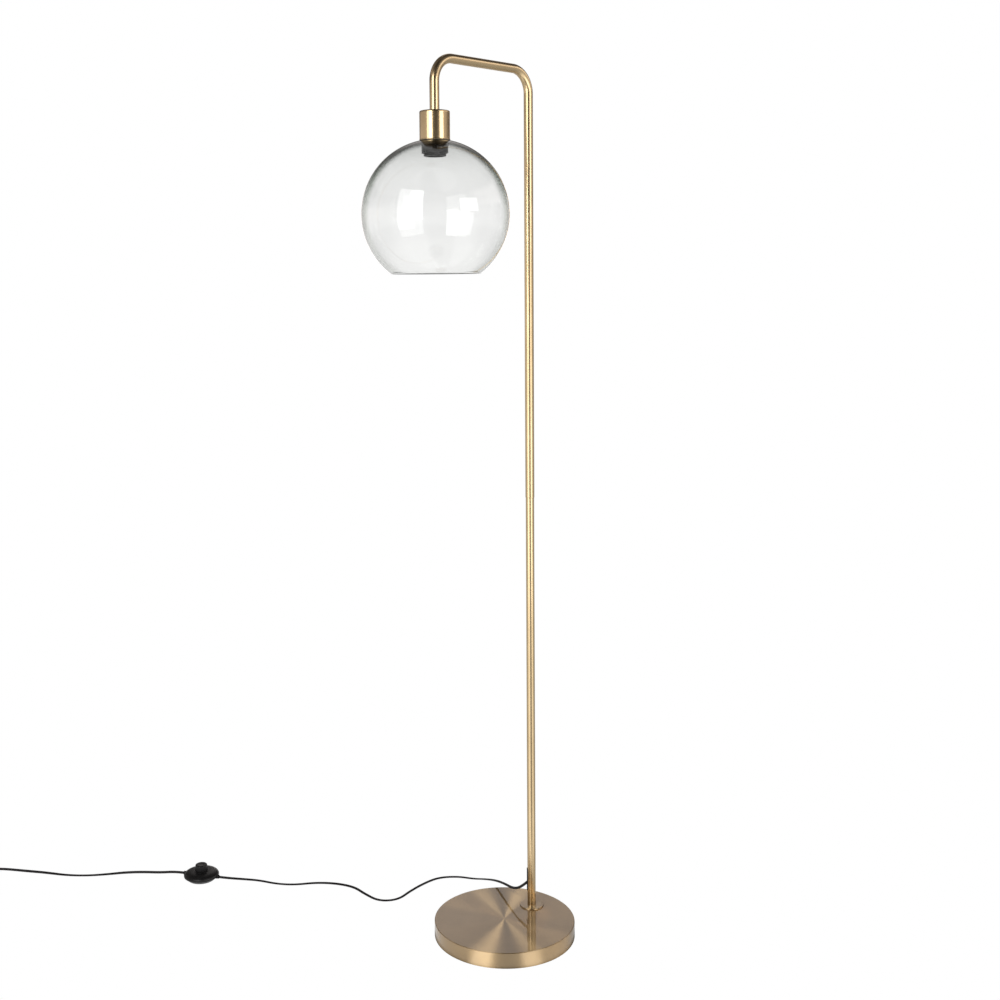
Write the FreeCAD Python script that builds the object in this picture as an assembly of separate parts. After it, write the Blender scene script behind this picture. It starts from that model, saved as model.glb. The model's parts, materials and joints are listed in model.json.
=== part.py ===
"""Globe floor lamp, in millimetres, +Z up.

The origin is the centre of the round base's underside, on the floor. The pole stands off
centre at +X and its top bends over towards -X, where a brass cup and a smoked glass globe
hang from it. A flat twin cord leaves a slot low in the pole, runs to a foot switch, and
goes on to a coil with a two-pin plug.
"""
import FreeCAD, Part
import math
import os

V = FreeCAD.Vector
UP = V(0, 0, 1)

# ---------------------------------------------------------------- driving dimensions
thread_fit = 0.05        # radial play of a screwed or brazed joint
slide_gap = 0.3          # play round a piece that moves
m10_r = 5.0              # all the lamp's own threads are M10
m10_hole_r = 5.25

# base
base_r = 125.0
base_h = 28.0
cover_wall = 1.5
cover_edge_r = 1.2
cover_foot_gap = 1.0     # the cover's lower edge stands clear of the floor
pad_t = 2.0
pad_inset = 1.5
weight_play = 0.5
pole_x = 73.0
bolt_pocket_r = 15.0
bolt_head_af = 17.0
bolt_head_h = 6.4
bolt_head_gap = 1.4      # from the bolt head to the pad
bolt_engagement = 18.0
washer_r = 10.0
washer_t = 2.0
lock_washer_r = 8.0
lock_washer_t = 2.2
lock_washer_split = 2.0
flange_r = 21.5
flange_t = 2.0
flange_edge_r = 0.9

# pole and arm
lower_pole_r = 7.5
upper_pole_r = 8.0
tube_wall = 1.0
joint_z = 780.0
arm_z = 1530.0           # centre line of the level stretch
arm_reach = 229.0        # pole axis to lamp axis
arm_drop = 88.0          # from that centre line down to the cup's top
bend_r = 40.0
foot_insert_h = 22.0
joint_insert_h = 20.0
joint_nipple_h = 32.0
nipple_bore_r = 3.5
arm_insert_h = 18.0
nipple_end_gap = 2.0     # the head's nipple ends this far below the insert's top

# cord outlet in the lower pole
exit_turn = 128.0        # degrees round the pole from +X
exit_dip = 42.0          # the cord slopes down by this many degrees as it leaves
exit_z = 70.5
exit_inset = 0.1         # the cord's node starts this far inside the lip's face
slot_mid_z = 76.5
slot_h = 40.0
slot_w = 6.6
grommet_play = 0.1
grommet_lip = 1.1        # stands out of the tube
grommet_lip_edge = 1.2
grommet_depth = 1.4      # reaches inside the tube

# socket cup
cup_h = 47.1
cup_r = 25.0
cup_wall = 1.2
cup_edge_r = 2.6
cup_bead = 0.5
cup_bead_h = 1.2
cup_nut_af = 14.0
cup_nut_t = 3.0
tooth_washer_r = 9.0
tooth_washer_t = 1.0

# lampholder, E27 size
holder_gap = 2.0         # cup nut to the holder's cap
cap_hub_r = 8.0
cap_hub_h = 10.0
cap_r = 19.75
cap_cone_h = 7.0
cap_skirt_h = 7.0
cap_wall = 1.9
holder_r = 19.75
holder_spigot_h = 6.0
holder_thread_h = 34.0
holder_end_r = 18.5
holder_end_h = 8.0
core_r = 17.0
core_t = 7.0
core_drop = 6.0          # the core's top face below the spigot's top
shell_r = 13.3           # inner radius of the lamp thread
shell_t = 0.5
shell_h = 22.0
shell_drop = 6.0         # the shell starts this far below the core
contact_r = 4.0
contact_t = 1.2
contact_drop = 4.0
terminal_x = 9.0
terminal_w = 6.0
terminal_h = 5.0
terminal_screw_r = 1.5
terminal_screw_head_r = 2.4
terminal_screw_head_t = 1.4

# shade ring and gaskets
ring_r = 22.0
ring_h = 14.0
ring_flange_r = 23.5
ring_flange_t = 2.0
gasket_t = 1.0
gasket_hole_play = 0.85
upper_gasket_r = 24.8

# glass globe
globe_r = 121.5
glass_t = 3.0
neck_hole_r = 20.75
neck_land_r = 25.0
mouth_r = 73.0

# cords
cord_d = 4.8             # width of the flat twin cord
lead_play = 0.06
first_run = 17.0         # straight out of the slot
cable_end_drop = 2.5     # the inner cable ends this far below the lampholder's hub

# foot switch, in its own frame: x along the cord, origin on the floor
switch_at = V(-250.4, 578.4, 0.0)
switch_turn = 120.0
switch_r = 34.0
switch_foot_r = 25.0     # where the underside's slope meets the floor
switch_wall = 2.0
switch_parting_z = 8.0
switch_side_z = 9.0
switch_top_z = 17.5
switch_shoulder_r = 15.0
crown_middle_r = 27.5    # a point halfway round the crown's outside
crown_middle_z = 14.6
crown_inset = 1.6        # from there to the inside, along r and z alike
button_r = 11.5
button_top_z = 29.5
button_flange_r = 13.5
button_flange_t = 2.0
button_wall = 2.0
button_travel = 3.5
button_edge_r = 2.0
plunger_r = 2.5
carrier_base_l = 43.0
carrier_w = 20.0
carrier_r = 9.0          # the carrier's drum fits inside the button
carrier_base_t = 2.2
carrier_top_z = 12.0
carrier_roof_t = 1.4
carrier_slot_w = 8.0
bridge_l = 14.0
bridge_w = 5.0
bridge_t = 0.8
contact_strip_t = 0.8
contact_closed_gap = 0.2
contact_inner_x = 4.0
switch_terminal_x = 18.0
switch_terminal_w = 6.0
switch_terminal_h = 6.0
spring_r = 6.5
spring_wire_r = 0.4
spring_turns = 5
spring_end_play = 0.05
housing_screw_y = 21.0
housing_screw_r = 1.4
housing_screw_head_r = 2.8
housing_screw_head_t = 1.9
housing_screw_recess = 0.3
housing_screw_l = 9.0
housing_screw_spare = 0.3
boss_r = 3.6
bush_r = 4.4
bush_nose_r = 3.7
bush_out = 3.0           # stands out of the housing
bush_seat = 0.6          # its nose starts this far inside the housing's face
bush_in = 5.0
lead_end_x = 21.3

# coil at the end of the cord, and the plug
coil_at = V(-552.6, 904.0, 0.0)
coil_turn = 45.0
coil_start_r = 30.0
coil_gap = 0.6
coil_half_turns_in = 3
coil_half_turns_out = 4
plug_gap = 12.0          # bare cord between the coil and the plug's sleeve
plug_relief_l = 25.0
plug_relief_r = 4.6
plug_relief_tip_r = 3.5
plug_l = 35.0
plug_front_l = 8.0
plug_w = 35.3
plug_t = 13.7
plug_belly_l = 15.0
plug_belly_w = 29.0
plug_belly_t = 15.6      # the belly rests on the floor
plug_tail_w = 14.0
plug_tail_t = 10.0
pin_r = 2.0
pin_shank_r = 1.6
pin_tip_r = 1.2
pin_l = 19.0
pin_pitch = 18.6
pin_seat = 12.0

# the cord's route along the floor, points chosen from the photograph
to_switch_points = [
    (63.5, 38.0, 51.0),
    (77.5, 71.0, 44.5),
    (91.0, 107.0, 35.0),
    (104.0, 147.0, 20.5),
    (114.0, 187.0, 5.0),
    (104.0, 220.0, 2.4),
    (75.0, 244.0, 2.4),
    (39.0, 246.5, 2.4),
    (-3.0, 242.0, 2.4),
    (-45.0, 232.0, 2.4),
    (-74.0, 254.0, 2.4),
    (-73.0, 296.0, 2.4),
    (-68.0, 331.0, 2.4),
    (-81.0, 367.0, 2.4),
    (-107.0, 400.0, 2.4),
    (-142.0, 423.0, 2.4),
    (-164.0, 452.0, 2.4),
    (-178.0, 488.0, 2.4),
    (-199.0, 512.0, 4.0),
    (-221.9, 529.04, 8.0),
]
run_out_points = [
    (-278.9, 627.76, 8.0),
    (-296.0, 653.0, 4.0),
    (-316.5, 683.0, 2.4),
    (-342.5, 707.5, 2.4),
    (-371.0, 726.5, 2.4),
    (-402.0, 750.5, 2.4),
    (-429.5, 781.5, 2.4),
    (-452.5, 820.5, 2.4),
    (-478.0, 857.5, 2.4),
    (-503.0, 896.5, 2.4),
]

# ---------------------------------------------------------------- derived places
weight_top = base_h - cover_wall
washer_top = pad_t + bolt_head_gap + bolt_head_h + lock_washer_t + washer_t
flange_top = base_h + flange_t
arm_x = pole_x - arm_reach
upper_inner_r = upper_pole_r - tube_wall
lower_inner_r = lower_pole_r - tube_wall
land_top = math.sqrt(globe_r ** 2 - neck_land_r ** 2)
land_under = math.sqrt((globe_r - glass_t) ** 2 - neck_land_r ** 2)
cup_top_z = arm_z - arm_drop
cup_bottom_z = cup_top_z - cup_h
globe_z = cup_bottom_z - gasket_t - land_top
cup_nut_z = cup_top_z - cup_wall - tooth_washer_t - cup_nut_t
cap_top_z = cup_nut_z - holder_gap
cap_bottom_z = cap_top_z - cap_hub_h - cap_cone_h - cap_skirt_h
core_top_z = cap_bottom_z + holder_spigot_h - core_drop
core_bottom_z = core_top_z - core_t
holder_step_z = cap_bottom_z - holder_thread_h
holder_bottom_z = holder_step_z - holder_end_h
ring_top_z = globe_z + land_under - gasket_t
cord_r = cord_d / 2
contact_top_z = switch_wall + carrier_base_t + contact_strip_t
bridge_z = contact_top_z + contact_closed_gap + button_travel
button_bottom_z = switch_top_z - switch_wall - slide_gap - button_flange_t
button_roof_z = button_top_z - button_wall


# ---------------------------------------------------------------- shape helpers
def rod(r, z0, z1, x=0.0, y=0.0):
    """Upright cylinder between two heights."""
    return Part.makeCylinder(r, z1 - z0, V(x, y, z0))


def tube(r, bore, z0, z1, x=0.0, y=0.0):
    """Upright ring or pipe."""
    return rod(r, z0, z1, x, y).cut(rod(bore, z0 - 1, z1 + 1, x, y))


def block(length, width, z0, z1, x=0.0, y=0.0):
    """Box centred on x and y."""
    return Part.makeBox(length, width, z1 - z0, V(x - length / 2, y - width / 2, z0))


def hexagon(across_flats, z0, z1, x=0.0, y=0.0):
    """Upright hexagonal prism."""
    r = across_flats / math.sqrt(3)
    corners = [V(x + r * math.cos(k * math.pi / 3), y + r * math.sin(k * math.pi / 3), z0) for k in range(7)]
    return Part.Face(Part.makePolygon(corners)).extrude(V(0, 0, z1 - z0))


def turned(edges, x=0.0):
    """Solid of revolution about the upright line at x, from edges in the XZ plane."""
    solid = Part.Face(Part.Wire(edges)).revolve(V(0, 0, 0), UP, 360)
    solid.translate(V(x, 0, 0))
    return solid


def line(a, b):
    return Part.LineSegment(a, b).toShape()


def arc(a, middle, b):
    return Part.Arc(a, middle, b).toShape()


def rz(r, z):
    """Point of a turned profile."""
    return V(r, 0, z)


def outline(points):
    """Straight edges through the points and back to the first."""
    return [line(a, b) for a, b in zip(points, points[1:] + points[:1])]


def edges_at(shape, z, r, x=0.0):
    """Circular edges of radius r at height z round the upright line at x."""
    found = []
    for e in shape.Edges:
        if isinstance(e.Curve, Part.Circle) and abs(e.Curve.Radius - r) < 1e-6:
            c = e.Curve.Center
            if abs(c.z - z) < 1e-6 and abs(c.x - x) < 1e-6:
                found.append(e)
    return found


def tangent_arc(start, heading, end):
    """Arc that leaves start along the unit vector heading and reaches end."""
    chord = end - start
    along = chord.dot(heading)
    side = heading * chord.Length ** 2 / (2 * along)
    knee = start + side
    middle = (start + end) * 0.5
    out = knee - middle
    turn = heading.getAngle(chord)
    radius = chord.Length / 2 / math.sin(turn)
    return arc(start, middle + out * (radius * (1 - math.cos(turn)) / out.Length), end)


def rounded_path(points, radii):
    """Straight runs joined by tangent arcs, one radius for each inner point."""
    edges = []
    last = points[0]
    for before, at, after, radius in zip(points, points[1:], points[2:], radii):
        back = (before - at).normalize()
        on = (after - at).normalize()
        reach = radius * math.tan((math.pi - back.getAngle(on)) / 2)
        start = at + back * reach
        edges.append(line(last, start))
        last = at + on * reach
        edges.append(tangent_arc(start, back * -1, last))
    edges.append(line(last, points[-1]))
    return Part.Wire(edges)


def cord_radii(points):
    """The largest tangent arc that each inner point's two runs allow, by 0.45 of the shorter."""
    radii = []
    for before, at, after in zip(points, points[1:], points[2:]):
        turn = math.pi - (before - at).getAngle(after - at)
        shorter = min((before - at).Length, (after - at).Length)
        radii.append(0.45 * shorter / math.tan(turn / 2))
    return radii


def swept(path, radius):
    """Round tube along a wire."""
    first = path.Edges[0]
    start = first.valueAt(first.FirstParameter)
    heading = first.tangentAt(first.FirstParameter)
    section = Part.Wire(Part.Circle(start, heading, radius).toShape())
    return path.makePipeShell([section], True, False)


def racetrack(width, height, x=0.0):
    """Closed slot outline in the YZ plane at x, wider along Y."""
    r = height / 2
    half = width / 2 - r
    a, b = V(x, -half, -r), V(x, half, -r)
    c, d = V(x, half, r), V(x, -half, r)
    return Part.Wire([
        line(a, b),
        arc(b, V(x, half + r, 0), c),
        line(c, d),
        arc(d, V(x, -half - r, 0), a),
    ])


def half_turn(start, heading, end):
    """A half turn, flat or climbing, as two arcs of a quarter turn each."""
    step = (end - start).Length / 2
    knee = (start + end) * 0.5 + heading * step
    second_heading = (end - start).normalize()
    return [tangent_arc(start, heading, knee), tangent_arc(knee, second_heading, end)]


parts = {}


# ---------------------------------------------------------------- base
def base_cover():
    """Spun cover: a flat top and a straight side, open below."""
    shell = rod(base_r, cover_foot_gap, base_h)
    shell = shell.makeFillet(cover_edge_r, edges_at(shell, base_h, base_r))
    shell = shell.cut(rod(base_r - cover_wall, 0, weight_top))
    return shell.cut(rod(m10_hole_r, 0, base_h + 1, pole_x))


def base_weight():
    """Cast disc that fills the cover, pocketed from below for the bolt."""
    disc = rod(base_r - cover_wall - weight_play, pad_t, weight_top)
    disc = disc.cut(rod(bolt_pocket_r, 0, washer_top, pole_x))
    return disc.cut(rod(m10_hole_r, 0, base_h, pole_x))


def base_fasteners():
    head_z = pad_t + bolt_head_gap
    lock_z = head_z + bolt_head_h
    flat_z = lock_z + lock_washer_t
    bolt = hexagon(bolt_head_af, head_z, lock_z, pole_x)
    bolt = bolt.fuse(rod(m10_r, lock_z, flange_top + bolt_engagement, pole_x))
    parts["base_bolt"] = bolt.removeSplitter()
    lock = tube(lock_washer_r, m10_hole_r, lock_z, flat_z, pole_x)
    split = block(lock_washer_r, lock_washer_split, lock_z, flat_z, pole_x + lock_washer_r)
    parts["base_lock_washer"] = lock.cut(split)
    parts["base_washer"] = tube(washer_r, m10_hole_r, flat_z, flat_z + washer_t, pole_x)


def pole_flange():
    disc = rod(flange_r, base_h, flange_top, pole_x)
    disc = disc.makeFillet(flange_edge_r, edges_at(disc, flange_top, flange_r, pole_x))
    return disc.cut(rod(m10_hole_r, base_h - 1, flange_top + 1, pole_x))


parts["base_cover"] = base_cover()
parts["base_weight"] = base_weight()
parts["base_pad"] = rod(base_r - cover_wall - pad_inset, 0, pad_t)
base_fasteners()
parts["pole_flange"] = pole_flange()

# ---------------------------------------------------------------- pole and arm
exit_out = V(math.cos(math.radians(exit_turn)), math.sin(math.radians(exit_turn)), 0)
exit_heading = exit_out * math.cos(math.radians(exit_dip)) - UP * math.sin(math.radians(exit_dip))
exit_r = lower_pole_r + grommet_lip - exit_inset
exit_point = V(pole_x, 0, exit_z) + exit_out * exit_r


def at_slot(shape):
    """Turns a shape made along +X from the pole's axis to the cord outlet."""
    shape.rotate(V(0, 0, 0), UP, exit_turn)
    shape.translate(V(pole_x, 0, slot_mid_z))
    return shape


def slot_prism(width, height, depth_in, depth_out):
    """Upright slot-shaped prism along +X."""
    face = Part.Face(racetrack(height, width, depth_in))
    face.rotate(V(0, 0, 0), V(1, 0, 0), 90)
    return face.extrude(V(depth_out - depth_in, 0, 0))


def lower_pole():
    pole = tube(lower_pole_r, lower_inner_r, flange_top, joint_z, pole_x)
    return pole.cut(at_slot(slot_prism(slot_w, slot_h, 0, lower_pole_r + 5)))


def slot_grommet():
    """Black insert that fills the slot, with a lip round it and a sloping hole for the cord."""
    inside_r = lower_inner_r - grommet_depth
    outside_r = lower_pole_r + grommet_lip
    plug = slot_prism(slot_w - 2 * grommet_play, slot_h - 2 * grommet_play, inside_r, outside_r)
    lip_w = slot_w + 2 * grommet_lip_edge
    lip_h = slot_h + 2 * grommet_lip_edge
    lip = slot_prism(lip_w, lip_h, lower_pole_r / 2, outside_r)
    lip = lip.cut(rod(lower_pole_r + lead_play, -slot_h, slot_h))
    body = plug.fuse(lip)
    body = body.common(rod(outside_r, -slot_h, slot_h))
    body = at_slot(body.removeSplitter())
    hole_start = exit_point - exit_heading * 2 * lower_pole_r
    hole = Part.makeCylinder(cord_r + lead_play, 4 * lower_pole_r, hole_start, exit_heading)
    return body.cut(hole)


def upper_pole():
    """One tube from the pole joint over two bends down to the cup."""
    path = rounded_path(
        [V(pole_x, 0, joint_z), V(pole_x, 0, arm_z), V(arm_x, 0, arm_z), V(arm_x, 0, cup_top_z)],
        [bend_r, bend_r],
    )
    return swept(path, upper_pole_r).cut(swept(path, upper_inner_r))


def insert(bore_of, z0, z1, x):
    """Threaded sleeve brazed into a tube."""
    return tube(bore_of - thread_fit, m10_r + thread_fit, z0, z1, x)


parts["lower_pole"] = lower_pole()
parts["slot_grommet"] = slot_grommet()
parts["upper_pole"] = upper_pole()
parts["pole_foot_insert"] = insert(lower_inner_r, flange_top, flange_top + foot_insert_h, pole_x)
parts["lower_pole_insert"] = insert(lower_inner_r, joint_z - joint_insert_h, joint_z, pole_x)
parts["upper_pole_insert"] = insert(upper_inner_r, joint_z, joint_z + joint_insert_h, pole_x)
nipple_half = joint_nipple_h / 2
parts["joint_nipple"] = tube(m10_r, nipple_bore_r, joint_z - nipple_half, joint_z + nipple_half, pole_x)
parts["arm_end_insert"] = insert(upper_inner_r, cup_top_z, cup_top_z + arm_insert_h, arm_x)

# ---------------------------------------------------------------- socket cup and its fixing
head_nipple_top = cup_top_z + arm_insert_h - nipple_end_gap
head_nipple_bottom = cap_top_z - cap_hub_h


def socket_cup():
    """Deep-drawn cup over the lampholder, with a small bead at its mouth."""
    cup = rod(cup_r, cup_bottom_z, cup_top_z, arm_x)
    cup = cup.makeFillet(cup_edge_r, edges_at(cup, cup_top_z, cup_r, arm_x))
    bead = rod(cup_r + cup_bead, cup_bottom_z, cup_bottom_z + cup_bead_h, arm_x)
    bead_edge = edges_at(bead, cup_bottom_z + cup_bead_h, cup_r + cup_bead, arm_x)
    bead = bead.makeChamfer(cup_bead - 0.05, bead_edge)
    cup = cup.fuse(bead)
    cup = cup.cut(rod(cup_r - cup_wall, cup_bottom_z - 1, cup_top_z - cup_wall, arm_x))
    return cup.cut(rod(m10_hole_r, cup_bottom_z, cup_top_z + 1, arm_x)).removeSplitter()


def cup_nut():
    nut = hexagon(cup_nut_af, cup_nut_z, cup_nut_z + cup_nut_t, arm_x)
    return nut.cut(rod(m10_r + thread_fit, cup_nut_z - 1, cup_nut_z + cup_nut_t + 1, arm_x))


parts["socket_cup"] = socket_cup()
washer_z = cup_nut_z + cup_nut_t
parts["cup_lock_washer"] = tube(tooth_washer_r, m10_hole_r, washer_z, washer_z + tooth_washer_t, arm_x)
parts["cup_nut"] = cup_nut()
parts["head_nipple"] = tube(m10_r, nipple_bore_r, head_nipple_bottom, head_nipple_top, arm_x)


# ---------------------------------------------------------------- lampholder
def holder_cap():
    """Domed upper half of the holder with a threaded hub."""
    hub_bottom = cap_top_z - cap_hub_h
    cone_bottom = hub_bottom - cap_cone_h
    outer = [
        rz(m10_r + thread_fit, cap_top_z),
        rz(cap_hub_r, cap_top_z),
        rz(cap_hub_r, hub_bottom),
        rz(cap_r, cone_bottom),
        rz(cap_r, cap_bottom_z),
    ]
    inner = [
        rz(cap_r - cap_wall, cap_bottom_z),
        rz(cap_r - cap_wall, cone_bottom),
        rz(cap_hub_r, hub_bottom - cap_wall),
        rz(m10_r + thread_fit, hub_bottom - cap_wall),
    ]
    return turned(outline(outer + inner), arm_x)


def holder_body():
    """Threaded skirt below the cap. A shoulder inside carries the insulating core."""
    top = cap_bottom_z + holder_spigot_h
    spigot_r = cap_r - cap_wall - thread_fit
    core_seat_r = core_r + thread_fit
    bore_r = shell_r + shell_t + thread_fit
    profile = [
        rz(spigot_r, top),
        rz(spigot_r, cap_bottom_z),
        rz(holder_r, cap_bottom_z),
        rz(holder_r, holder_step_z),
        rz(holder_end_r, holder_step_z),
        rz(holder_end_r, holder_bottom_z),
        rz(bore_r, holder_bottom_z),
        rz(bore_r, core_bottom_z),
        rz(core_seat_r, core_bottom_z),
        rz(core_seat_r, top),
    ]
    return turned(outline(profile), arm_x)


def centre_contact():
    rivet = rod(contact_r / 2, core_bottom_z - contact_drop, core_bottom_z, arm_x)
    disc = rod(contact_r, core_bottom_z - contact_drop - contact_t, core_bottom_z - contact_drop, arm_x)
    return rivet.fuse(disc).removeSplitter()


def screw_terminal(x, y, z0, width, height):
    """Brass block and its screw, as two solids."""
    top = z0 + height
    brass = block(width, width, z0, top, x, y)
    brass = brass.cut(rod(terminal_screw_r + thread_fit, z0 + height / 3, top + 1, x, y))
    screw = rod(terminal_screw_r, z0 + height / 2, top, x, y)
    screw = screw.fuse(rod(terminal_screw_head_r, top, top + terminal_screw_head_t, x, y))
    return brass, screw.removeSplitter()


parts["holder_cap"] = holder_cap()
parts["holder_body"] = holder_body()
parts["holder_core"] = rod(core_r, core_bottom_z, core_top_z, arm_x)
shell_top_z = core_bottom_z - shell_drop
parts["screw_shell"] = tube(shell_r + shell_t, shell_r, shell_top_z - shell_h, shell_top_z, arm_x)
parts["centre_contact"] = centre_contact()
holder_pairs = [
    screw_terminal(arm_x + s * terminal_x, 0, core_top_z, terminal_w, terminal_h) for s in (-1, 1)
]
parts["holder_terminals"] = Part.makeCompound([pair[0] for pair in holder_pairs])
parts["holder_terminal_screws"] = Part.makeCompound([pair[1] for pair in holder_pairs])


# ---------------------------------------------------------------- shade ring, gaskets, globe
def shade_ring():
    """Threaded ring that clamps the globe up against the cup."""
    ring = rod(ring_flange_r, ring_top_z - ring_flange_t, ring_top_z, arm_x)
    ring = ring.fuse(rod(ring_r, ring_top_z - ring_flange_t - ring_h, ring_top_z, arm_x))
    ring = ring.cut(rod(holder_r + thread_fit, ring_top_z - 2 * ring_h, ring_top_z + 1, arm_x))
    return ring.removeSplitter()


def glass_globe():
    """Blown sphere with a flat land round the neck hole and a round-edged open mouth below."""
    inner_r = globe_r - glass_t
    mouth = math.asin(mouth_r / globe_r)
    neck = math.asin(neck_land_r / globe_r)
    inner_neck = math.asin(neck_land_r / inner_r)

    def on_sphere(radius, angle_from_top):
        return rz(radius * math.sin(angle_from_top), globe_z + radius * math.cos(angle_from_top))

    outer_end = on_sphere(globe_r, math.pi - mouth)
    inner_end = on_sphere(inner_r, math.pi - mouth)
    lip_out = V(-math.cos(mouth), 0, -math.sin(mouth)) * (glass_t / 2)
    lip_middle = (outer_end + inner_end) * 0.5 + lip_out
    profile = [
        line(rz(neck_hole_r, globe_z + land_top), on_sphere(globe_r, neck)),
        arc(on_sphere(globe_r, neck), on_sphere(globe_r, math.pi / 2), outer_end),
        arc(outer_end, lip_middle, inner_end),
        arc(inner_end, on_sphere(inner_r, math.pi / 2), on_sphere(inner_r, inner_neck)),
        line(on_sphere(inner_r, inner_neck), rz(neck_hole_r, globe_z + land_under)),
        line(rz(neck_hole_r, globe_z + land_under), rz(neck_hole_r, globe_z + land_top)),
    ]
    return turned(profile, arm_x)


parts["shade_ring"] = shade_ring()
gasket_hole_r = holder_r + gasket_hole_play
parts["lower_gasket"] = tube(ring_flange_r, gasket_hole_r, ring_top_z, ring_top_z + gasket_t, arm_x)
parts["upper_gasket"] = tube(upper_gasket_r, gasket_hole_r, cup_bottom_z - gasket_t, cup_bottom_z, arm_x)
parts["glass_globe"] = glass_globe()


# ---------------------------------------------------------------- cable inside the pole and arm
def inner_cable():
    """The same twin cord from the outlet up through pole and arm to the lampholder."""
    knee_z = exit_z + exit_r * math.tan(math.radians(exit_dip))
    end_z = head_nipple_bottom - cap_wall - cable_end_drop
    points = [
        exit_point,
        V(pole_x, 0, knee_z),
        V(pole_x, 0, arm_z),
        V(arm_x, 0, arm_z),
        V(arm_x, 0, end_z),
    ]
    first_radius = cord_radii(points)[0]
    return swept(rounded_path(points, [first_radius, bend_r, bend_r]), cord_r)


parts["inner_cable"] = inner_cable()


# ---------------------------------------------------------------- foot switch
def in_place(shape):
    """From the switch's own frame to the lamp's."""
    shape.rotate(V(0, 0, 0), UP, switch_turn)
    shape.translate(switch_at)
    return shape


def both_ends(make):
    """The same piece at the cord's way in and way out."""
    return [make(-1), make(1)]


def side_rod(r, x0, x1, z):
    """Cylinder along x."""
    return Part.makeCylinder(r, abs(x1 - x0), V(min(x0, x1), 0, z), V(1, 0, 0))


def bush_holes():
    """Round holes for the two cord bushes, split between the housings."""
    inner_x = switch_r - 2 * bush_in
    outer_x = switch_r + bush_out
    return [side_rod(bush_r + thread_fit, s * inner_x, s * outer_x, switch_parting_z) for s in (-1, 1)]


def switch_lower_housing():
    """Shallow dish: a flat foot and a side that slopes out to the parting line."""
    inner_r = switch_r - switch_wall
    dish = [
        rz(0, 0),
        rz(switch_foot_r, 0),
        rz(switch_r, switch_parting_z),
        rz(inner_r, switch_parting_z),
        rz(switch_foot_r - switch_wall / 2, switch_wall),
        rz(0, switch_wall),
    ]
    cup = turned(outline(dish))
    for y in (-housing_screw_y, housing_screw_y):
        head_top = housing_screw_recess + housing_screw_head_t
        cup = cup.fuse(rod(boss_r, switch_wall / 2, switch_parting_z, 0, y))
        cup = cup.cut(rod(housing_screw_head_r + slide_gap, -1, head_top, 0, y))
        cup = cup.cut(rod(housing_screw_r + slide_gap, -1, switch_parting_z + 1, 0, y))
    for hole in bush_holes():
        cup = cup.cut(hole)
    return cup.removeSplitter()


def switch_upper_housing():
    """Domed shell with a round hole for the button and two screw bosses."""
    hole_r = button_r + slide_gap
    inner_r = switch_r - switch_wall
    roof_z = switch_top_z - switch_wall
    inner_shoulder_r = switch_shoulder_r - 1
    inner_middle = rz(crown_middle_r - crown_inset, crown_middle_z - crown_inset)
    middle = rz(crown_middle_r, crown_middle_z)
    outside = [
        line(rz(switch_r, switch_parting_z), rz(switch_r, switch_side_z)),
        arc(rz(switch_r, switch_side_z), middle, rz(switch_shoulder_r, switch_top_z)),
        line(rz(switch_shoulder_r, switch_top_z), rz(hole_r, switch_top_z)),
    ]
    inside = [
        line(rz(hole_r, switch_top_z), rz(hole_r, roof_z)),
        line(rz(hole_r, roof_z), rz(inner_shoulder_r, roof_z)),
        arc(rz(inner_shoulder_r, roof_z), inner_middle, rz(inner_r, switch_side_z)),
        line(rz(inner_r, switch_side_z), rz(inner_r, switch_parting_z)),
        line(rz(inner_r, switch_parting_z), rz(switch_r, switch_parting_z)),
    ]
    across_middle = [
        line(rz(hole_r, switch_top_z), rz(0, switch_top_z)),
        line(rz(0, switch_top_z), rz(0, switch_parting_z)),
        line(rz(0, switch_parting_z), rz(switch_r, switch_parting_z)),
    ]
    shell = turned(outside + inside)
    filled_dome = turned(outside + across_middle)
    screw_hole_top = housing_screw_recess + housing_screw_head_t + housing_screw_l + housing_screw_spare
    for y in (-housing_screw_y, housing_screw_y):
        boss = rod(boss_r, switch_parting_z, switch_top_z, 0, y).common(filled_dome)
        shell = shell.fuse(boss)
        shell = shell.cut(rod(housing_screw_r + thread_fit, 0, screw_hole_top, 0, y))
    for hole in bush_holes():
        shell = shell.cut(hole)
    return shell.removeSplitter()


def switch_button():
    """Hollow round key with a flange that stops it under the dome."""
    key = rod(button_r, button_bottom_z, button_top_z)
    key = key.makeFillet(button_edge_r, edges_at(key, button_top_z, button_r))
    key = key.fuse(rod(button_flange_r, button_bottom_z, button_bottom_z + button_flange_t))
    return key.cut(rod(button_r - button_wall, button_bottom_z - 1, button_roof_z)).removeSplitter()


def contact_carrier():
    """Insulating block with a tunnel for the contact bridge and a hole for the plunger."""
    base_top = switch_wall + carrier_base_t
    carrier = block(carrier_base_l, carrier_w, switch_wall, base_top)
    carrier = carrier.fuse(rod(carrier_r, base_top, carrier_top_z))
    carrier = carrier.cut(block(carrier_base_l, carrier_slot_w, base_top, carrier_top_z - carrier_roof_t))
    return carrier.cut(rod(plunger_r + slide_gap, base_top, carrier_top_z + 1)).removeSplitter()


def contact_strip(side):
    length = switch_terminal_x + switch_terminal_w / 2 - contact_inner_x
    middle = side * (contact_inner_x + length / 2)
    return block(length, bridge_w, contact_top_z - contact_strip_t, contact_top_z, middle)


def return_spring():
    """Coil spring between the carrier's top and the button's roof, in half turns."""
    end_inset = spring_wire_r + spring_end_play
    rise = (button_roof_z - carrier_top_z - 2 * end_inset) / (2 * spring_turns)
    at = V(spring_r, 0, carrier_top_z + end_inset)
    heading = V(0, 1, 0)
    edges = []
    for k in range(2 * spring_turns):
        end = V(-at.x, 0, at.z + rise)
        edges += half_turn(at, heading, end)
        at, heading = end, heading * -1
    return swept(Part.Wire(edges), spring_wire_r)


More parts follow.
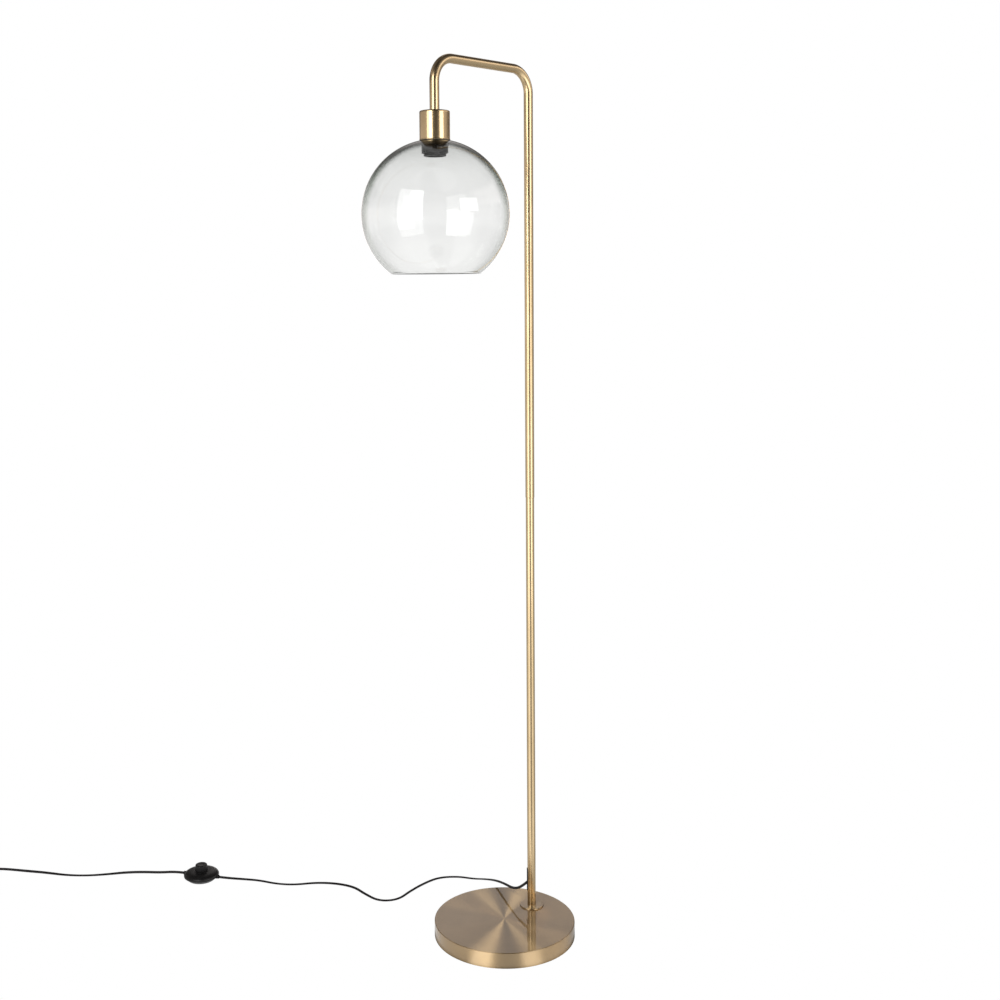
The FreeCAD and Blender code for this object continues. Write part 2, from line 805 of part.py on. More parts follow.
def housing_screw(y):
    head_top = housing_screw_recess + housing_screw_head_t
    screw = rod(housing_screw_head_r, housing_screw_recess, head_top, 0, y)
    return screw.fuse(rod(housing_screw_r, head_top, head_top + housing_screw_l, 0, y)).removeSplitter()


def cord_bush(side):
    """Rubber sleeve in the split hole of the housing."""
    inner_x = side * (switch_r - bush_in)
    face_x = side * (switch_r - bush_seat)
    bore_start = side * (switch_r - 2 * bush_in)
    bore_end = side * (switch_r + 2 * bush_out)
    sleeve = side_rod(bush_r, inner_x, face_x, switch_parting_z)
    face = V(face_x, 0, switch_parting_z)
    nose = Part.makeCone(bush_r, bush_nose_r, bush_out + bush_seat, face, V(side, 0, 0))
    bore = side_rod(cord_r + lead_play, bore_start, bore_end, switch_parting_z)
    return sleeve.fuse(nose).cut(bore).removeSplitter()


def inner_lead(side):
    return side_rod(cord_r, side * lead_end_x, side * (switch_r + bush_out), switch_parting_z)


switch_pairs = [
    screw_terminal(s * switch_terminal_x, 0, contact_top_z, switch_terminal_w, switch_terminal_h)
    for s in (-1, 1)
]
housing_screws = [housing_screw(y) for y in (-housing_screw_y, housing_screw_y)]
switch_pieces = {
    "switch_lower_housing": switch_lower_housing(),
    "switch_upper_housing": switch_upper_housing(),
    "switch_button": switch_button(),
    "switch_plunger": rod(plunger_r, bridge_z + bridge_t, button_roof_z),
    "contact_bridge": block(bridge_l, bridge_w, bridge_z, bridge_z + bridge_t),
    "contact_carrier": contact_carrier(),
    "fixed_contacts": Part.makeCompound(both_ends(contact_strip)),
    "switch_terminals": Part.makeCompound([pair[0] for pair in switch_pairs]),
    "switch_terminal_screws": Part.makeCompound([pair[1] for pair in switch_pairs]),
    "switch_spring": return_spring(),
    "switch_housing_screws": Part.makeCompound(housing_screws),
    "switch_cord_bushes": Part.makeCompound(both_ends(cord_bush)),
    "switch_inner_leads": Part.makeCompound(both_ends(inner_lead)),
}
for name, piece in switch_pieces.items():
    parts[name] = in_place(piece)

# ---------------------------------------------------------------- free cord
switch_axis = V(math.cos(math.radians(switch_turn)), math.sin(math.radians(switch_turn)), 0)
switch_in = switch_at - switch_axis * (switch_r + bush_out) + UP * switch_parting_z
switch_out = switch_at + switch_axis * (switch_r + bush_out) + UP * switch_parting_z


def report_cord(name, points, radii, solid):
    runs = [(b - a).Length for a, b in zip(points, points[1:])]
    path_length = rounded_path(points, radii).Length
    section = math.pi * cord_r ** 2
    print(name, "length %.1f" % path_length, "runs %.1f-%.1f" % (min(runs), max(runs)))
    print("  radii", " ".join("%.0f" % r for r in radii))
    print("  volume %.1f, section x length %.1f" % (solid.Volume, section * path_length))


def free_cord(name, points):
    radii = cord_radii(points)
    solid = swept(rounded_path(points, radii), cord_r)
    report_cord(name, points, radii, solid)
    return solid


to_switch = [exit_point, exit_point + exit_heading * first_run]
to_switch += [V(*p) for p in to_switch_points] + [switch_in]
parts["cord_to_switch"] = free_cord("cord_to_switch", to_switch)


# ---------------------------------------------------------------- put-away coil
def coil_stations():
    """Points where one half turn of the coil meets the next, from the floor layer inwards,
    up to the second layer in the half turn where the spiral reverses, and outwards again."""
    pitch = cord_d + coil_gap
    radii = [coil_start_r - k * pitch / 2 for k in range(coil_half_turns_in + 1)]
    radii += [radii[-1] + (k + 1) * pitch / 2 for k in range(coil_half_turns_out)]
    x, z, side = coil_start_r, cord_r, 1
    stations = [V(x, 0, z)]
    for k, r in enumerate(radii):
        x -= side * 2 * r
        side = -side
        if k == coil_half_turns_in:
            z += pitch
        stations.append(V(x, 0, z))
    return stations


def least_self_gap(path):
    """Smallest clear space between stretches of the coil, from points 3 mm apart."""
    points = path.discretize(Distance=3.0)
    apart = int(6 * cord_d / 3.0)
    least = min(
        (points[i] - points[j]).Length
        for i in range(len(points))
        for j in range(i + apart, len(points))
    )
    return least - cord_d


def coil_path():
    stations = coil_stations()
    heading = V(0, 1, 0)
    edges = [line(stations[0] - heading * cord_d, stations[0])]
    for a, b in zip(stations, stations[1:]):
        edges += half_turn(a, heading, b)
        heading = heading * -1
    edges.append(line(stations[-1], stations[-1] + heading * cord_d))
    return Part.Wire(edges)


coil_wire = coil_path()
coil_wire.rotate(V(0, 0, 0), UP, coil_turn)
coil_wire.translate(coil_at)
coil_start = coil_wire.Edges[0].valueAt(coil_wire.Edges[0].FirstParameter)
last_edge = coil_wire.Edges[-1]
coil_end = last_edge.valueAt(last_edge.LastParameter)
coil_out = last_edge.tangentAt(last_edge.LastParameter)
parts["cord_coil"] = swept(coil_wire, cord_r)
coil_volume = math.pi * cord_r ** 2 * coil_wire.Length
print("cord_coil length %.1f" % coil_wire.Length, "least gap to itself %.2f" % least_self_gap(coil_wire))
print("  volume %.1f, section x length %.1f" % (parts["cord_coil"].Volume, coil_volume))

run_out = [switch_out] + [V(*p) for p in run_out_points] + [coil_start]
parts["cord_run_out"] = free_cord("cord_run_out", run_out)


# ---------------------------------------------------------------- plug
def at_plug(shape):
    """From the plug's own frame, x towards its pins from the sleeve's tip, to past the coil."""
    shape.rotate(V(0, 0, 0), UP, math.degrees(math.atan2(coil_out.y, coil_out.x)))
    shape.translate(coil_end + coil_out * plug_gap)
    return shape


def plug_body():
    """Flat two-pin body with a thicker grip, narrowing towards the cord."""
    tail = racetrack(plug_tail_w, plug_tail_t, plug_relief_l)
    belly = racetrack(plug_belly_w, plug_belly_t, plug_relief_l + plug_belly_l)
    shoulder = racetrack(plug_w, plug_t, plug_relief_l + plug_l - plug_front_l)
    body = Part.makeLoft([tail, belly, shoulder], True, True)
    body = body.fuse(Part.Face(shoulder).extrude(V(plug_front_l, 0, 0)))
    body = body.cut(side_rod(cord_r + lead_play, plug_relief_l - 1, plug_relief_l + pin_seat, 0))
    for y in (-pin_pitch / 2, pin_pitch / 2):
        front_x = plug_relief_l + plug_l
        seat = side_rod(pin_shank_r + lead_play, front_x - pin_seat, front_x + 1, 0)
        seat.translate(V(0, y, 0))
        body = body.cut(seat)
    return body.removeSplitter()


def plug_pin(y):
    """Round pin with a rounded tip, on a thinner shank inside the body."""
    front_x = plug_relief_l + plug_l
    tip_x = front_x + pin_l
    pin = side_rod(pin_r, front_x, tip_x, 0)
    pin = pin.makeFillet(pin_tip_r, [e for e in pin.Edges if abs(e.CenterOfMass.x - tip_x) < 1e-6])
    pin = pin.fuse(side_rod(pin_shank_r, front_x - pin_seat, front_x, 0))
    pin.translate(V(0, y, 0))
    return pin


def plug_relief():
    """Tapered sleeve behind the plug."""
    cone = Part.makeCone(plug_relief_tip_r, plug_relief_r, plug_relief_l, V(0, 0, 0), V(1, 0, 0))
    return cone.cut(side_rod(cord_r + lead_play, -1, plug_relief_l + 1, 0))


parts["plug_body"] = at_plug(plug_body())
parts["plug_pins"] = at_plug(Part.makeCompound([plug_pin(y) for y in (-pin_pitch / 2, pin_pitch / 2)]))
parts["plug_relief"] = at_plug(plug_relief())
parts["plug_lead"] = at_plug(side_rod(cord_r, -plug_gap, plug_relief_l + pin_seat - slide_gap, 0))

# ---------------------------------------------------------------- files
os.makedirs("parts", exist_ok=True)
for name, shape in parts.items():
    if not shape.isValid() or not shape.Solids:
        print("not a valid solid:", name)
    shape.exportStep("parts/%s.step" % name)
print(len(parts), "sub-parts, cup mouth at", round(cup_bottom_z, 2), "globe centre at", round(globe_z, 2))
print("coil start", coil_start, "coil end", coil_end, "heading", coil_out)
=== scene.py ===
"""Dresses the brushed brass globe floor lamp, in metres, +Z up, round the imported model.

Turned pieces are outlines carried round an axis, tubes and cords are sections carried along
a path, and the plug's body is a section that grows and shrinks along its length.
"""
import json

import bpy
import numpy as np
from mathutils import Matrix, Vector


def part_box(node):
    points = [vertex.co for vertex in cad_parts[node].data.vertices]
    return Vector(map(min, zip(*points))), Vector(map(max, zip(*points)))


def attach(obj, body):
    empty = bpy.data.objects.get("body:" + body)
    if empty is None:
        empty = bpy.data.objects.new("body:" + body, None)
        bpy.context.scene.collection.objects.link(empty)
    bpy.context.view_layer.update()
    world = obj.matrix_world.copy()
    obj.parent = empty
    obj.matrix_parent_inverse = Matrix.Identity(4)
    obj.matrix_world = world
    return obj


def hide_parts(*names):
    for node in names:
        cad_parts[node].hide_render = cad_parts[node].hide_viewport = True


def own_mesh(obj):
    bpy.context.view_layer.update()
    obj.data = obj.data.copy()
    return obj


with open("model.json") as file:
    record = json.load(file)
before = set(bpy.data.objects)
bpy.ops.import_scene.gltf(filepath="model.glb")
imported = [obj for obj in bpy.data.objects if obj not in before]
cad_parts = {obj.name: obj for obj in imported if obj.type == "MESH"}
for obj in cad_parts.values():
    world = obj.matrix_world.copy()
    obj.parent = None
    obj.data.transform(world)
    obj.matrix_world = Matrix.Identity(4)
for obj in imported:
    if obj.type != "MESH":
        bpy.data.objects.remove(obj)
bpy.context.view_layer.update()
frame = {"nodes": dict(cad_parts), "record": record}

mm = 0.001
near_axis = 0.2 * mm    # an open outline starts and ends here, and a fan of triangles closes it
lamp = "lamp"
button_body = "foot_button"


# ---------------------------------------------------------------- places from the frame
def low(node):
    return np.array(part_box(node)[0])


def high(node):
    return np.array(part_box(node)[1])


def middle(node):
    return (low(node) + high(node)) / 2


def heights(node):
    """Foot and top of a CAD piece."""
    return low(node)[2], high(node)[2]


def radius(node):
    return (high(node)[1] - low(node)[1]) / 2


pole_x = middle("lower_pole")[0]
head_x = middle("socket_cup")[0]
switch_at = np.array([middle("switch_lower_housing")[0], middle("switch_lower_housing")[1], 0.0])
switch_turn = np.radians(120.0)


# ---------------------------------------------------------------- outlines and grids
def unit(v):
    return v / np.linalg.norm(v)


def softened(corners, radii, steps=5, hold=0.4 * mm):
    """Open outline through the corners, each but the ends rounded by an arc of its radius.

    An arc of radius r in a corner of angle a starts r / tan(a / 2) from the corner. A held
    point before and after it keeps flat faces shading flat.
    """
    corners = np.array(corners, float)
    points = [corners[0]]
    for k in range(1, len(corners) - 1):
        at = corners[k]
        back = corners[k - 1] - at
        on = corners[k + 1] - at
        grip = min(hold, 0.2 * np.linalg.norm(back), 0.2 * np.linalg.norm(on))
        back, on = unit(back), unit(on)
        half = np.arccos(np.clip(back @ on, -1, 1)) / 2
        r = max(radii[k], 0.02 * mm)
        reach = r / np.tan(half)
        centre = at + unit(back + on) * r / np.sin(half)
        start, end = at + back * reach - centre, at + on * reach - centre
        t = np.linspace(0, 1, steps)[:, None]
        sweep = np.pi - 2 * half
        arc = (start * np.sin((1 - t) * sweep) + end * np.sin(t * sweep)) / np.sin(sweep)
        points += [at + back * (reach + grip), *(centre + arc), at + on * (reach + grip)]
    return np.array([*points, corners[-1]])


def filled_in(outline, step):
    """The outline with long stretches divided into pieces no longer than step."""
    points = []
    for a, b in zip(outline[:-1], outline[1:]):
        n = max(1, int(np.ceil(np.linalg.norm(b - a) / step)))
        points += list(a + (b - a) * np.arange(n)[:, None] / n)
    return np.array([*points, outline[-1]])


def signed_volume(verts, quads, tris):
    a, b, c, d = (verts[quads[:, k]] for k in range(4))
    volume = np.einsum("ij,ij->", a, np.cross(b, c)) + np.einsum("ij,ij->", a, np.cross(c, d))
    if len(tris):
        a, b, c = (verts[tris[:, k]] for k in range(3))
        volume += np.einsum("ij,ij->", a, np.cross(b, c))
    return volume


def surface(name, grid, closed=False):
    """Mesh of a grid of points: each row is a ring, and the rows follow the outline.

    A closed outline joins its last ring to its first. An open one ends in a point at each
    end. The UV map holds turns round the ring and metres along the outline.
    """
    rows, around = grid.shape[:2]
    verts = grid.reshape(-1, 3)
    i, j = np.meshgrid(np.arange(rows if closed else rows - 1), np.arange(around), indexing="ij")
    i, j = i.ravel(), j.ravel()
    i2, j2 = (i + 1) % rows, (j + 1) % around
    quads = np.stack([i * around + j, i * around + j2, i2 * around + j2, i2 * around + j], 1)
    steps = np.linalg.norm(np.roll(grid, -1, axis=0) - grid, axis=2).max(axis=1)
    along = np.concatenate([[0], np.cumsum(steps)])
    u0, u1 = j / around, (j + 1) / around
    v0, v1 = along[i], along[i + 1]
    quad_uv = np.stack([u0, v0, u1, v0, u1, v1, u0, v1], 1).reshape(-1, 4, 2)
    tris = np.zeros((0, 3), int)
    tri_uv = np.zeros((0, 3, 2))
    if not closed:
        tips = len(verts) + np.arange(2)
        verts = np.concatenate([verts, grid[[0, -1]].mean(axis=1)])
        j = np.arange(around)
        j2 = (j + 1) % around
        last = (rows - 1) * around
        first_fan = np.stack([np.full(around, tips[0]), j2, j], 1)
        last_fan = np.stack([np.full(around, tips[1]), last + j, last + j2], 1)
        tris = np.concatenate([first_fan, last_fan])
        u0, u1 = j / around, (j + 1) / around
        um = (u0 + u1) / 2
        a, b = np.zeros(around), np.full(around, along[rows - 1])
        first_uv = np.stack([um, a, u1, a, u0, a], 1)
        last_uv = np.stack([um, b, u0, b, u1, b], 1)
        tri_uv = np.concatenate([first_uv, last_uv]).reshape(-1, 3, 2)
    if signed_volume(verts, quads, tris) < 0:
        quads, quad_uv = quads[:, ::-1], quad_uv[:, ::-1]
        tris, tri_uv = tris[:, ::-1], tri_uv[:, ::-1]
    mesh = bpy.data.meshes.new(name)
    mesh.vertices.add(len(verts))
    mesh.vertices.foreach_set("co", verts.ravel())
    corners = np.concatenate([quads.ravel(), tris.ravel()])
    mesh.loops.add(len(corners))
    mesh.loops.foreach_set("vertex_index", corners)
    sizes = np.concatenate([np.full(len(quads), 4), np.full(len(tris), 3)])
    mesh.polygons.add(len(sizes))
    mesh.polygons.foreach_set("loop_start", np.concatenate([[0], np.cumsum(sizes)[:-1]]))
    mesh.polygons.foreach_set("use_smooth", np.ones(len(sizes), bool))
    uv = mesh.uv_layers.new(name="UVMap")
    uv.data.foreach_set("uv", np.concatenate([quad_uv.ravel(), tri_uv.ravel()]))
    mesh.update(calc_edges=True)
    mesh.validate()
    piece = bpy.data.objects.new(name, mesh)
    bpy.context.collection.objects.link(piece)
    return piece


def turned_grid(outline, around):
    """Rings (r cos a, r sin a, z) for each point (r, z) of the outline."""
    a = np.linspace(0, 2 * np.pi, around, endpoint=False)
    r, z = outline[:, 0][:, None], outline[:, 1][:, None]
    return np.stack([r * np.cos(a), r * np.sin(a), z + 0 * a], -1)


def turned(name, outline, x=0.0, y=0.0, around=96, closed=False):
    """Outline of (radius, height) carried round the upright line at x, y."""
    grid = turned_grid(outline, around) + np.array([x, y, 0])
    return surface(name, grid, closed)


def lying(grid, at, heading):
    """Turns a grid made along +Z so that +Z points along heading, flat on the floor plane."""
    forward = np.array([np.cos(heading), np.sin(heading), 0])
    side = np.array([-np.sin(heading), np.cos(heading), 0])
    up = np.array([0, 0, 1.0])
    return at + grid[..., 2:3] * forward + grid[..., 0:1] * side + grid[..., 1:2] * up


def blunted(wave, power):
    """sgn(w) |w|^power, which makes an ellipse's cosine and sine those of a blunter oval."""
    return np.sign(wave) * np.abs(wave) ** power


# ---------------------------------------------------------------- materials
class Nodes:
    """A node tree, with short calls that add nodes to it and link them."""

    def __init__(self, tree):
        self.tree = tree

    def feed(self, socket, value):
        if isinstance(value, bpy.types.NodeSocket):
            self.tree.links.new(value, socket)
        else:
            socket.default_value = value

    def node(self, kind, settings=None, **inputs):
        made = self.tree.nodes.new(kind)
        for key, value in (settings or {}).items():
            setattr(made, key, value)
        for key, value in inputs.items():
            self.feed(made.inputs[key.replace("_", " ")], value)
        return made

    def place(self, kind="Object"):
        return self.node("ShaderNodeTexCoord").outputs[kind]

    def split(self, vector):
        return self.node("ShaderNodeSeparateXYZ", Vector=vector).outputs

    def math(self, operation, a, b=0.0):
        made = self.node("ShaderNodeMath", {"operation": operation})
        self.feed(made.inputs[0], a)
        self.feed(made.inputs[1], b)
        return made.outputs[0]

    def vector_math(self, operation, a, b=(0.0, 0.0, 0.0)):
        made = self.node("ShaderNodeVectorMath", {"operation": operation})
        self.feed(made.inputs[0], a)
        self.feed(made.inputs[1], b)
        return made.outputs["Value" if operation == "LENGTH" else "Vector"]

    def range(self, value, from_low, from_high, to_low, to_high):
        """Value carried from one range to another, and held at its ends."""
        made = self.node("ShaderNodeMapRange")
        for k, v in enumerate((value, from_low, from_high, to_low, to_high)):
            self.feed(made.inputs[k], v)
        return made.outputs[0]

    def ramp(self, value, stops):
        """Colour ramp from (position, colour) stops."""
        made = self.node("ShaderNodeValToRGB", Fac=value)
        elements = made.color_ramp.elements
        for k, (position, colour) in enumerate(stops):
            element = elements[k] if k < 2 else elements.new(position)
            element.position = position
            element.color = (*colour, 1.0)
        return made.outputs["Color"]

    def mix(self, factor, a, b, blend="MIX"):
        """Colour a where the factor is 0, and b (or a times b) where it is 1."""
        made = self.node("ShaderNodeMix", {"data_type": "RGBA", "blend_type": blend}, Factor=factor)
        self.feed(made.inputs[6], a)
        self.feed(made.inputs[7], b)
        return made.outputs[2]


class Paint(Nodes):
    """A new material with its Principled shader."""

    def __init__(self, name, **constants):
        self.material = bpy.data.materials.new(name)
        self.material.use_nodes = True
        super().__init__(self.material.node_tree)
        self.shader = self.tree.nodes["Principled BSDF"]
        self.set(**constants)

    def set(self, **sockets):
        for key, value in sockets.items():
            self.feed(self.shader.inputs[key.replace("_", " ")], value)
        return self.material

    def noise(self, vector, scale, detail=3.0, roughness=0.5):
        made = self.node("ShaderNodeTexNoise", Vector=vector, Scale=scale, Detail=detail,
                         Roughness=roughness)
        return made.outputs["Fac"]

    def by_noise(self, noise, least, most):
        """Level that follows a noise, most of which lies between 0.3 and 0.7."""
        return self.range(noise, 0.3, 0.7, least, most)

    def bump(self, height, strength, distance):
        made = self.node("ShaderNodeBump", Strength=strength, Distance=distance, Height=height)
        self.set(Normal=made.outputs["Normal"])


def ring_place(paint, round_scale, along_scale):
    """Seamless coordinates from the UV map: cosine and sine of the turn, and the way along."""
    uv = paint.split(paint.node("ShaderNodeUVMap", {"uv_map": "UVMap"}).outputs["UV"])
    angle = paint.math("MULTIPLY", uv["X"], 2 * np.pi)
    across = paint.math("MULTIPLY", paint.math("COSINE", angle), round_scale)
    level = paint.math("MULTIPLY", paint.math("SINE", angle), round_scale)
    along = paint.math("MULTIPLY", uv["Y"], along_scale)
    return paint.node("ShaderNodeCombineXYZ", X=across, Y=level, Z=along).outputs["Vector"]


def brushed_brass(name, tones, round_scale, along_scale, roughness, unevenness, coat,
                  bump=0.0, anisotropic=0.0, turn=0.0):
    """Antique brass under clear lacquer, with hairlines and slow tone changes.

    The hairlines' noise has round_scale waves to a radian round the ring and along_scale
    to a metre along it.
    """
    paint = Paint(name, Metallic=1.0, Anisotropic=anisotropic, Anisotropic_Rotation=turn,
                  Coat_Weight=coat, Coat_Roughness=0.04)
    hairs = paint.noise(ring_place(paint, round_scale, along_scale), 1.0, 4.0, 0.6)
    tone = paint.noise(paint.place(), 14.0, 3.0, 0.6)
    colour = paint.ramp(tone, [(0.30, tones[0]), (0.70, tones[1])])
    hair_colour = paint.ramp(hairs, [(0.30, (0.90, 0.89, 0.87)), (0.62, (1.0, 1.0, 1.0))])
    tangent = paint.node("ShaderNodeTangent", {"direction_type": "UV_MAP", "uv_map": "UVMap"})
    paint.bump(hairs, bump, 0.02 * mm)
    return paint.set(
        Base_Color=paint.mix(0.5, colour, hair_colour, "MULTIPLY"),
        Roughness=paint.by_noise(hairs, roughness - unevenness, roughness + unevenness),
        Tangent=tangent.outputs["Tangent"],
    )


def plain_metal(name, colour, dark, roughness):
    """Turned or plated metal with slight clouding."""
    paint = Paint(name, Metallic=1.0)
    clouds = paint.noise(paint.place(), 180.0)
    return paint.set(
        Base_Color=paint.ramp(clouds, [(0.3, dark), (0.7, colour)]),
        Roughness=paint.by_noise(clouds, roughness - 0.06, roughness + 0.06),
    )


# tints of the glass by the share of its height, seen square on and edge on; the edge-on tints are
# partly smoke and mostly painted shade, near black at the top
glass_tints = [
    (0.0, (0.995, 0.995, 0.990)),
    (0.45, (0.975, 0.975, 0.972)),
    (0.80, (0.930, 0.932, 0.928)),
    (1.0, (0.78, 0.785, 0.775)),
]
glass_edge_tints_and_painted_shade = [
    (0.0, (0.86, 0.87, 0.84)),
    (0.45, (0.66, 0.68, 0.64)),
    (0.72, (0.32, 0.36, 0.31)),
    (0.88, (0.004, 0.008, 0.004)),
]
edge_begins, edge_full = 0.58, 0.77    # how far the wall turns away, from 0 to 1


def smoked_glass():
    """Smoke grey glass: its tint deepens towards the neck. Where the wall is seen edge on it
    darkens further,
    near black at the top: partly the longer path through the wall, mostly painted shade."""
    paint = Paint("smoked glass", Roughness=0.0, IOR=1.45, Transmission_Weight=1.0)
    bottom, top = heights("glass_globe")
    share = paint.range(paint.split(paint.place())["Z"], bottom, top, 0.0, 1.0)
    facing = paint.node("ShaderNodeLayerWeight", Blend=0.5).outputs["Facing"]
    edge = paint.range(facing, edge_begins, edge_full, 0.0, 1.0)
    # painted shade: the tint turns towards near black where the wall is seen edge on
    tint = paint.mix(edge, paint.ramp(share, glass_tints), paint.ramp(share, glass_edge_tints_and_painted_shade))
    smoke = paint.node("ShaderNodeVolumeAbsorption", Color=(0.50, 0.53, 0.50, 1.0), Density=24.0)
    paint.feed(paint.tree.nodes["Material Output"].inputs["Volume"], smoke.outputs["Volume"])
    return paint.set(Base_Color=tint)


def moulded(name, colour, roughness, grain, shine=0.35):
    """Moulded plastic or rubber with a fine spark-eroded grain."""
    paint = Paint(name, Specular_IOR_Level=shine)
    fine = paint.noise(paint.place(), grain, 2.0)
    worn = paint.noise(paint.place(), 60.0, 3.0)
    lighter = tuple(1.5 * c + 0.002 for c in colour)
    paint.bump(fine, 0.15, 0.05 * mm)
    return paint.set(
        Base_Color=paint.ramp(worn, [(0.35, colour), (0.75, lighter)]),
        Roughness=paint.by_noise(fine, roughness - 0.05, roughness + 0.08),
    )


def glazed_porcelain():
    paint = Paint("glazed porcelain", Coat_Weight=0.6, Coat_Roughness=0.08)
    specks = paint.noise(paint.place(), 400.0)
    return paint.set(
        Base_Color=paint.ramp(specks, [(0.3, (0.74, 0.72, 0.67)), (0.6, (0.82, 0.80, 0.76))]),
        Roughness=paint.by_noise(specks, 0.25, 0.4),
    )


def black_felt():
    paint = Paint("black felt", Roughness=0.95, Sheen_Weight=0.4)
    fibres = paint.noise(paint.place(), 1500.0, 5.0, 0.7)
    paint.bump(fibres, 0.6, 0.3 * mm)
    tones = [(0.3, (0.010, 0.010, 0.010)), (0.8, (0.045, 0.044, 0.042))]
    return paint.set(Base_Color=paint.ramp(fibres, tones))


def raw_casting():
    paint = Paint("raw casting", Metallic=0.3)
    grain = paint.noise(paint.place(), 300.0, 6.0, 0.65)
    paint.bump(grain, 0.5, 0.3 * mm)
    return paint.set(
        Base_Color=paint.ramp(grain, [(0.3, (0.05, 0.05, 0.05)), (0.7, (0.12, 0.115, 0.11))]),
        Roughness=paint.by_noise(grain, 0.55, 0.8),
    )


turned_tones = [(0.61, 0.430, 0.220), (0.70, 0.500, 0.264)]
drawn_tones = [(0.56, 0.418, 0.236), (0.64, 0.488, 0.284)]
brass_turned = brushed_brass(
    "brass, turned", turned_tones, round_scale=0.5, along_scale=2600.0, roughness=0.50,
    unevenness=0.04, coat=1.0, bump=0.05, anisotropic=1.0, turn=0.25,
)
brass_cup = brushed_brass(
    "brass, cup", drawn_tones, round_scale=90.0, along_scale=12.0, roughness=0.20,
    unevenness=0.02, coat=0.2,
)
brass_tube = brushed_brass(
    "brass, drawn tube", drawn_tones, round_scale=90.0, along_scale=1.5, roughness=0.24,
    unevenness=0.015, coat=0.2,
)
black_resin = moulded("black resin", (0.0050, 0.0048, 0.0048), 0.30, 2500.0, shine=0.10)
slot_materials = {
    "brushed_brass": brass_tube,
    "plain_brass": plain_metal("plain brass", (0.70, 0.52, 0.25), (0.55, 0.39, 0.17), 0.28),
    "zinc_steel": plain_metal("zinc plated steel", (0.62, 0.62, 0.60), (0.45, 0.45, 0.44), 0.35),
    "spring_steel": plain_metal("spring wire", (0.55, 0.55, 0.56), (0.38, 0.38, 0.39), 0.25),
    "cast_weight": raw_casting(),
    "felt": black_felt(),
    "smoked_glass": smoked_glass(),
    "black_plastic": moulded("black satin plastic", (0.0065, 0.0060, 0.0062), 0.36, 2500.0),
    "porcelain": glazed_porcelain(),
    "black_rubber": moulded("black rubber", (0.010, 0.0095, 0.0095), 0.6, 1800.0),
    "cord_jacket": moulded("black cord jacket", (0.0075, 0.0060, 0.0062), 0.45, 2200.0),
}


def coloured(piece, material):
    piece.data.materials.clear()
    piece.data.materials.append(material)


for entry in frame["record"]["subparts"]:
    coloured(frame["nodes"][entry["node"]], slot_materials[entry["material_slot"]])


def dressed(piece, body, slot_name, *nodes, look=None):
    """Gives a piece its body and the slot's material or a look of its own, and hides the nodes
    that it stands for."""
    coloured(piece, slot_materials[slot_name] if look is None else look)
    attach(piece, body)
    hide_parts(*nodes)
    return piece


# ---------------------------------------------------------------- base
def base_cover():
    """Flat top, small round edge, straight side and an inner wall, open below."""
    r = radius("base_cover")
    foot, top = heights("base_cover")
    wall = top - high("base_weight")[2]
    corners = [
        (near_axis, top), (r, top), (r, foot), (r - wall, foot), (r - wall, top - wall),
        (near_axis, top - wall),
    ]
    outline = softened(corners, [0, 1.2 * mm, 0.25 * mm, 0.25 * mm, 0.4 * mm, 0])
    return turned("base_shell", filled_in(outline, 8 * mm), around=256)


def pole_foot():
    """Thin flange with a round upper edge, under the pole."""
    r = radius("pole_flange")
    foot, top = heights("pole_flange")
    corners = [(near_axis, foot), (r, foot), (r, top), (near_axis, top)]
    return turned("pole_foot", softened(corners, [0, 0.2 * mm, 0.9 * mm, 0]), pole_x, around=128)


dressed(base_cover(), lamp, "brushed_brass", "base_cover", look=brass_turned)
dressed(pole_foot(), lamp, "brushed_brass", "pole_flange", look=brass_turned)


# ---------------------------------------------------------------- pole and arm
def lower_tube():
    r = radius("lower_pole")
    foot, top = heights("lower_pole")
    corners = [(near_axis, foot), (r, foot), (r, top), (near_axis, top)]
    outline = filled_in(softened(corners, [0, 0.15 * mm, 0.15 * mm, 0]), 40 * mm)
    return turned("lower_tube", outline, pole_x)


def arm_line(bend):
    """Points and turning angles of the tube's centre line: up, over and down, in the XZ plane."""
    rise_n, bend_n, level_n, drop_n = 24, 24, 8, 5
    foot, top = heights("upper_pole")
    top -= radius("upper_pole")
    end = high("socket_cup")[2]
    rise = np.stack([np.full(rise_n, pole_x), np.linspace(foot, top - bend, rise_n)], 1)
    a = np.linspace(0, np.pi / 2, bend_n + 1)[1:]
    first = np.stack([pole_x - bend * (1 - np.cos(a)), top - bend + bend * np.sin(a)], 1)
    level_x = np.linspace(pole_x - bend, head_x + bend, level_n + 1)[1:]
    level = np.stack([level_x, np.full(level_n, top)], 1)
    second = np.stack([head_x + bend * (1 - np.sin(a)), top - bend * (1 - np.cos(a))], 1)
    drop = np.stack([np.full(drop_n, head_x), np.linspace(top - bend, end, drop_n + 1)[1:]], 1)
    line = np.concatenate([rise, first, level, second, drop])
    turns = np.concatenate([
        np.zeros(rise_n), a, np.full(level_n, np.pi / 2), np.pi / 2 + a, np.full(drop_n, np.pi),
    ])
    return line, turns


def arm_tube():
    """Circle of the tube's radius carried along the bent centre line, with slightly eased ends."""
    r, ease, bend = radius("upper_pole"), 0.25 * mm, 40 * mm
    line, turns = arm_line(bend)
    a = np.linspace(0, 2 * np.pi, 96, endpoint=False)
    outward = np.stack([np.cos(turns), 0 * turns, np.sin(turns)], 1)
    sideways = np.array([0, 1.0, 0])
    centre = np.stack([line[:, 0], 0 * line[:, 0], line[:, 1]], 1)
    ring = np.cos(a)[None, :, None] * outward[:, None] + np.sin(a)[None, :, None] * sideways
    grid = centre[:, None] + r * ring
    start_in = centre[0] + (r - ease) * ring[0]
    end_in = centre[-1] + (r - ease) * ring[-1]
    up = np.array([0, 0, ease])
    start = [start_in, grid[0] + up, grid[0] + 3 * up]
    end = [grid[-1] + 3 * up, grid[-1] + up, end_in]
    return surface("arm_tube", np.concatenate([start, grid[1:-1], end]))


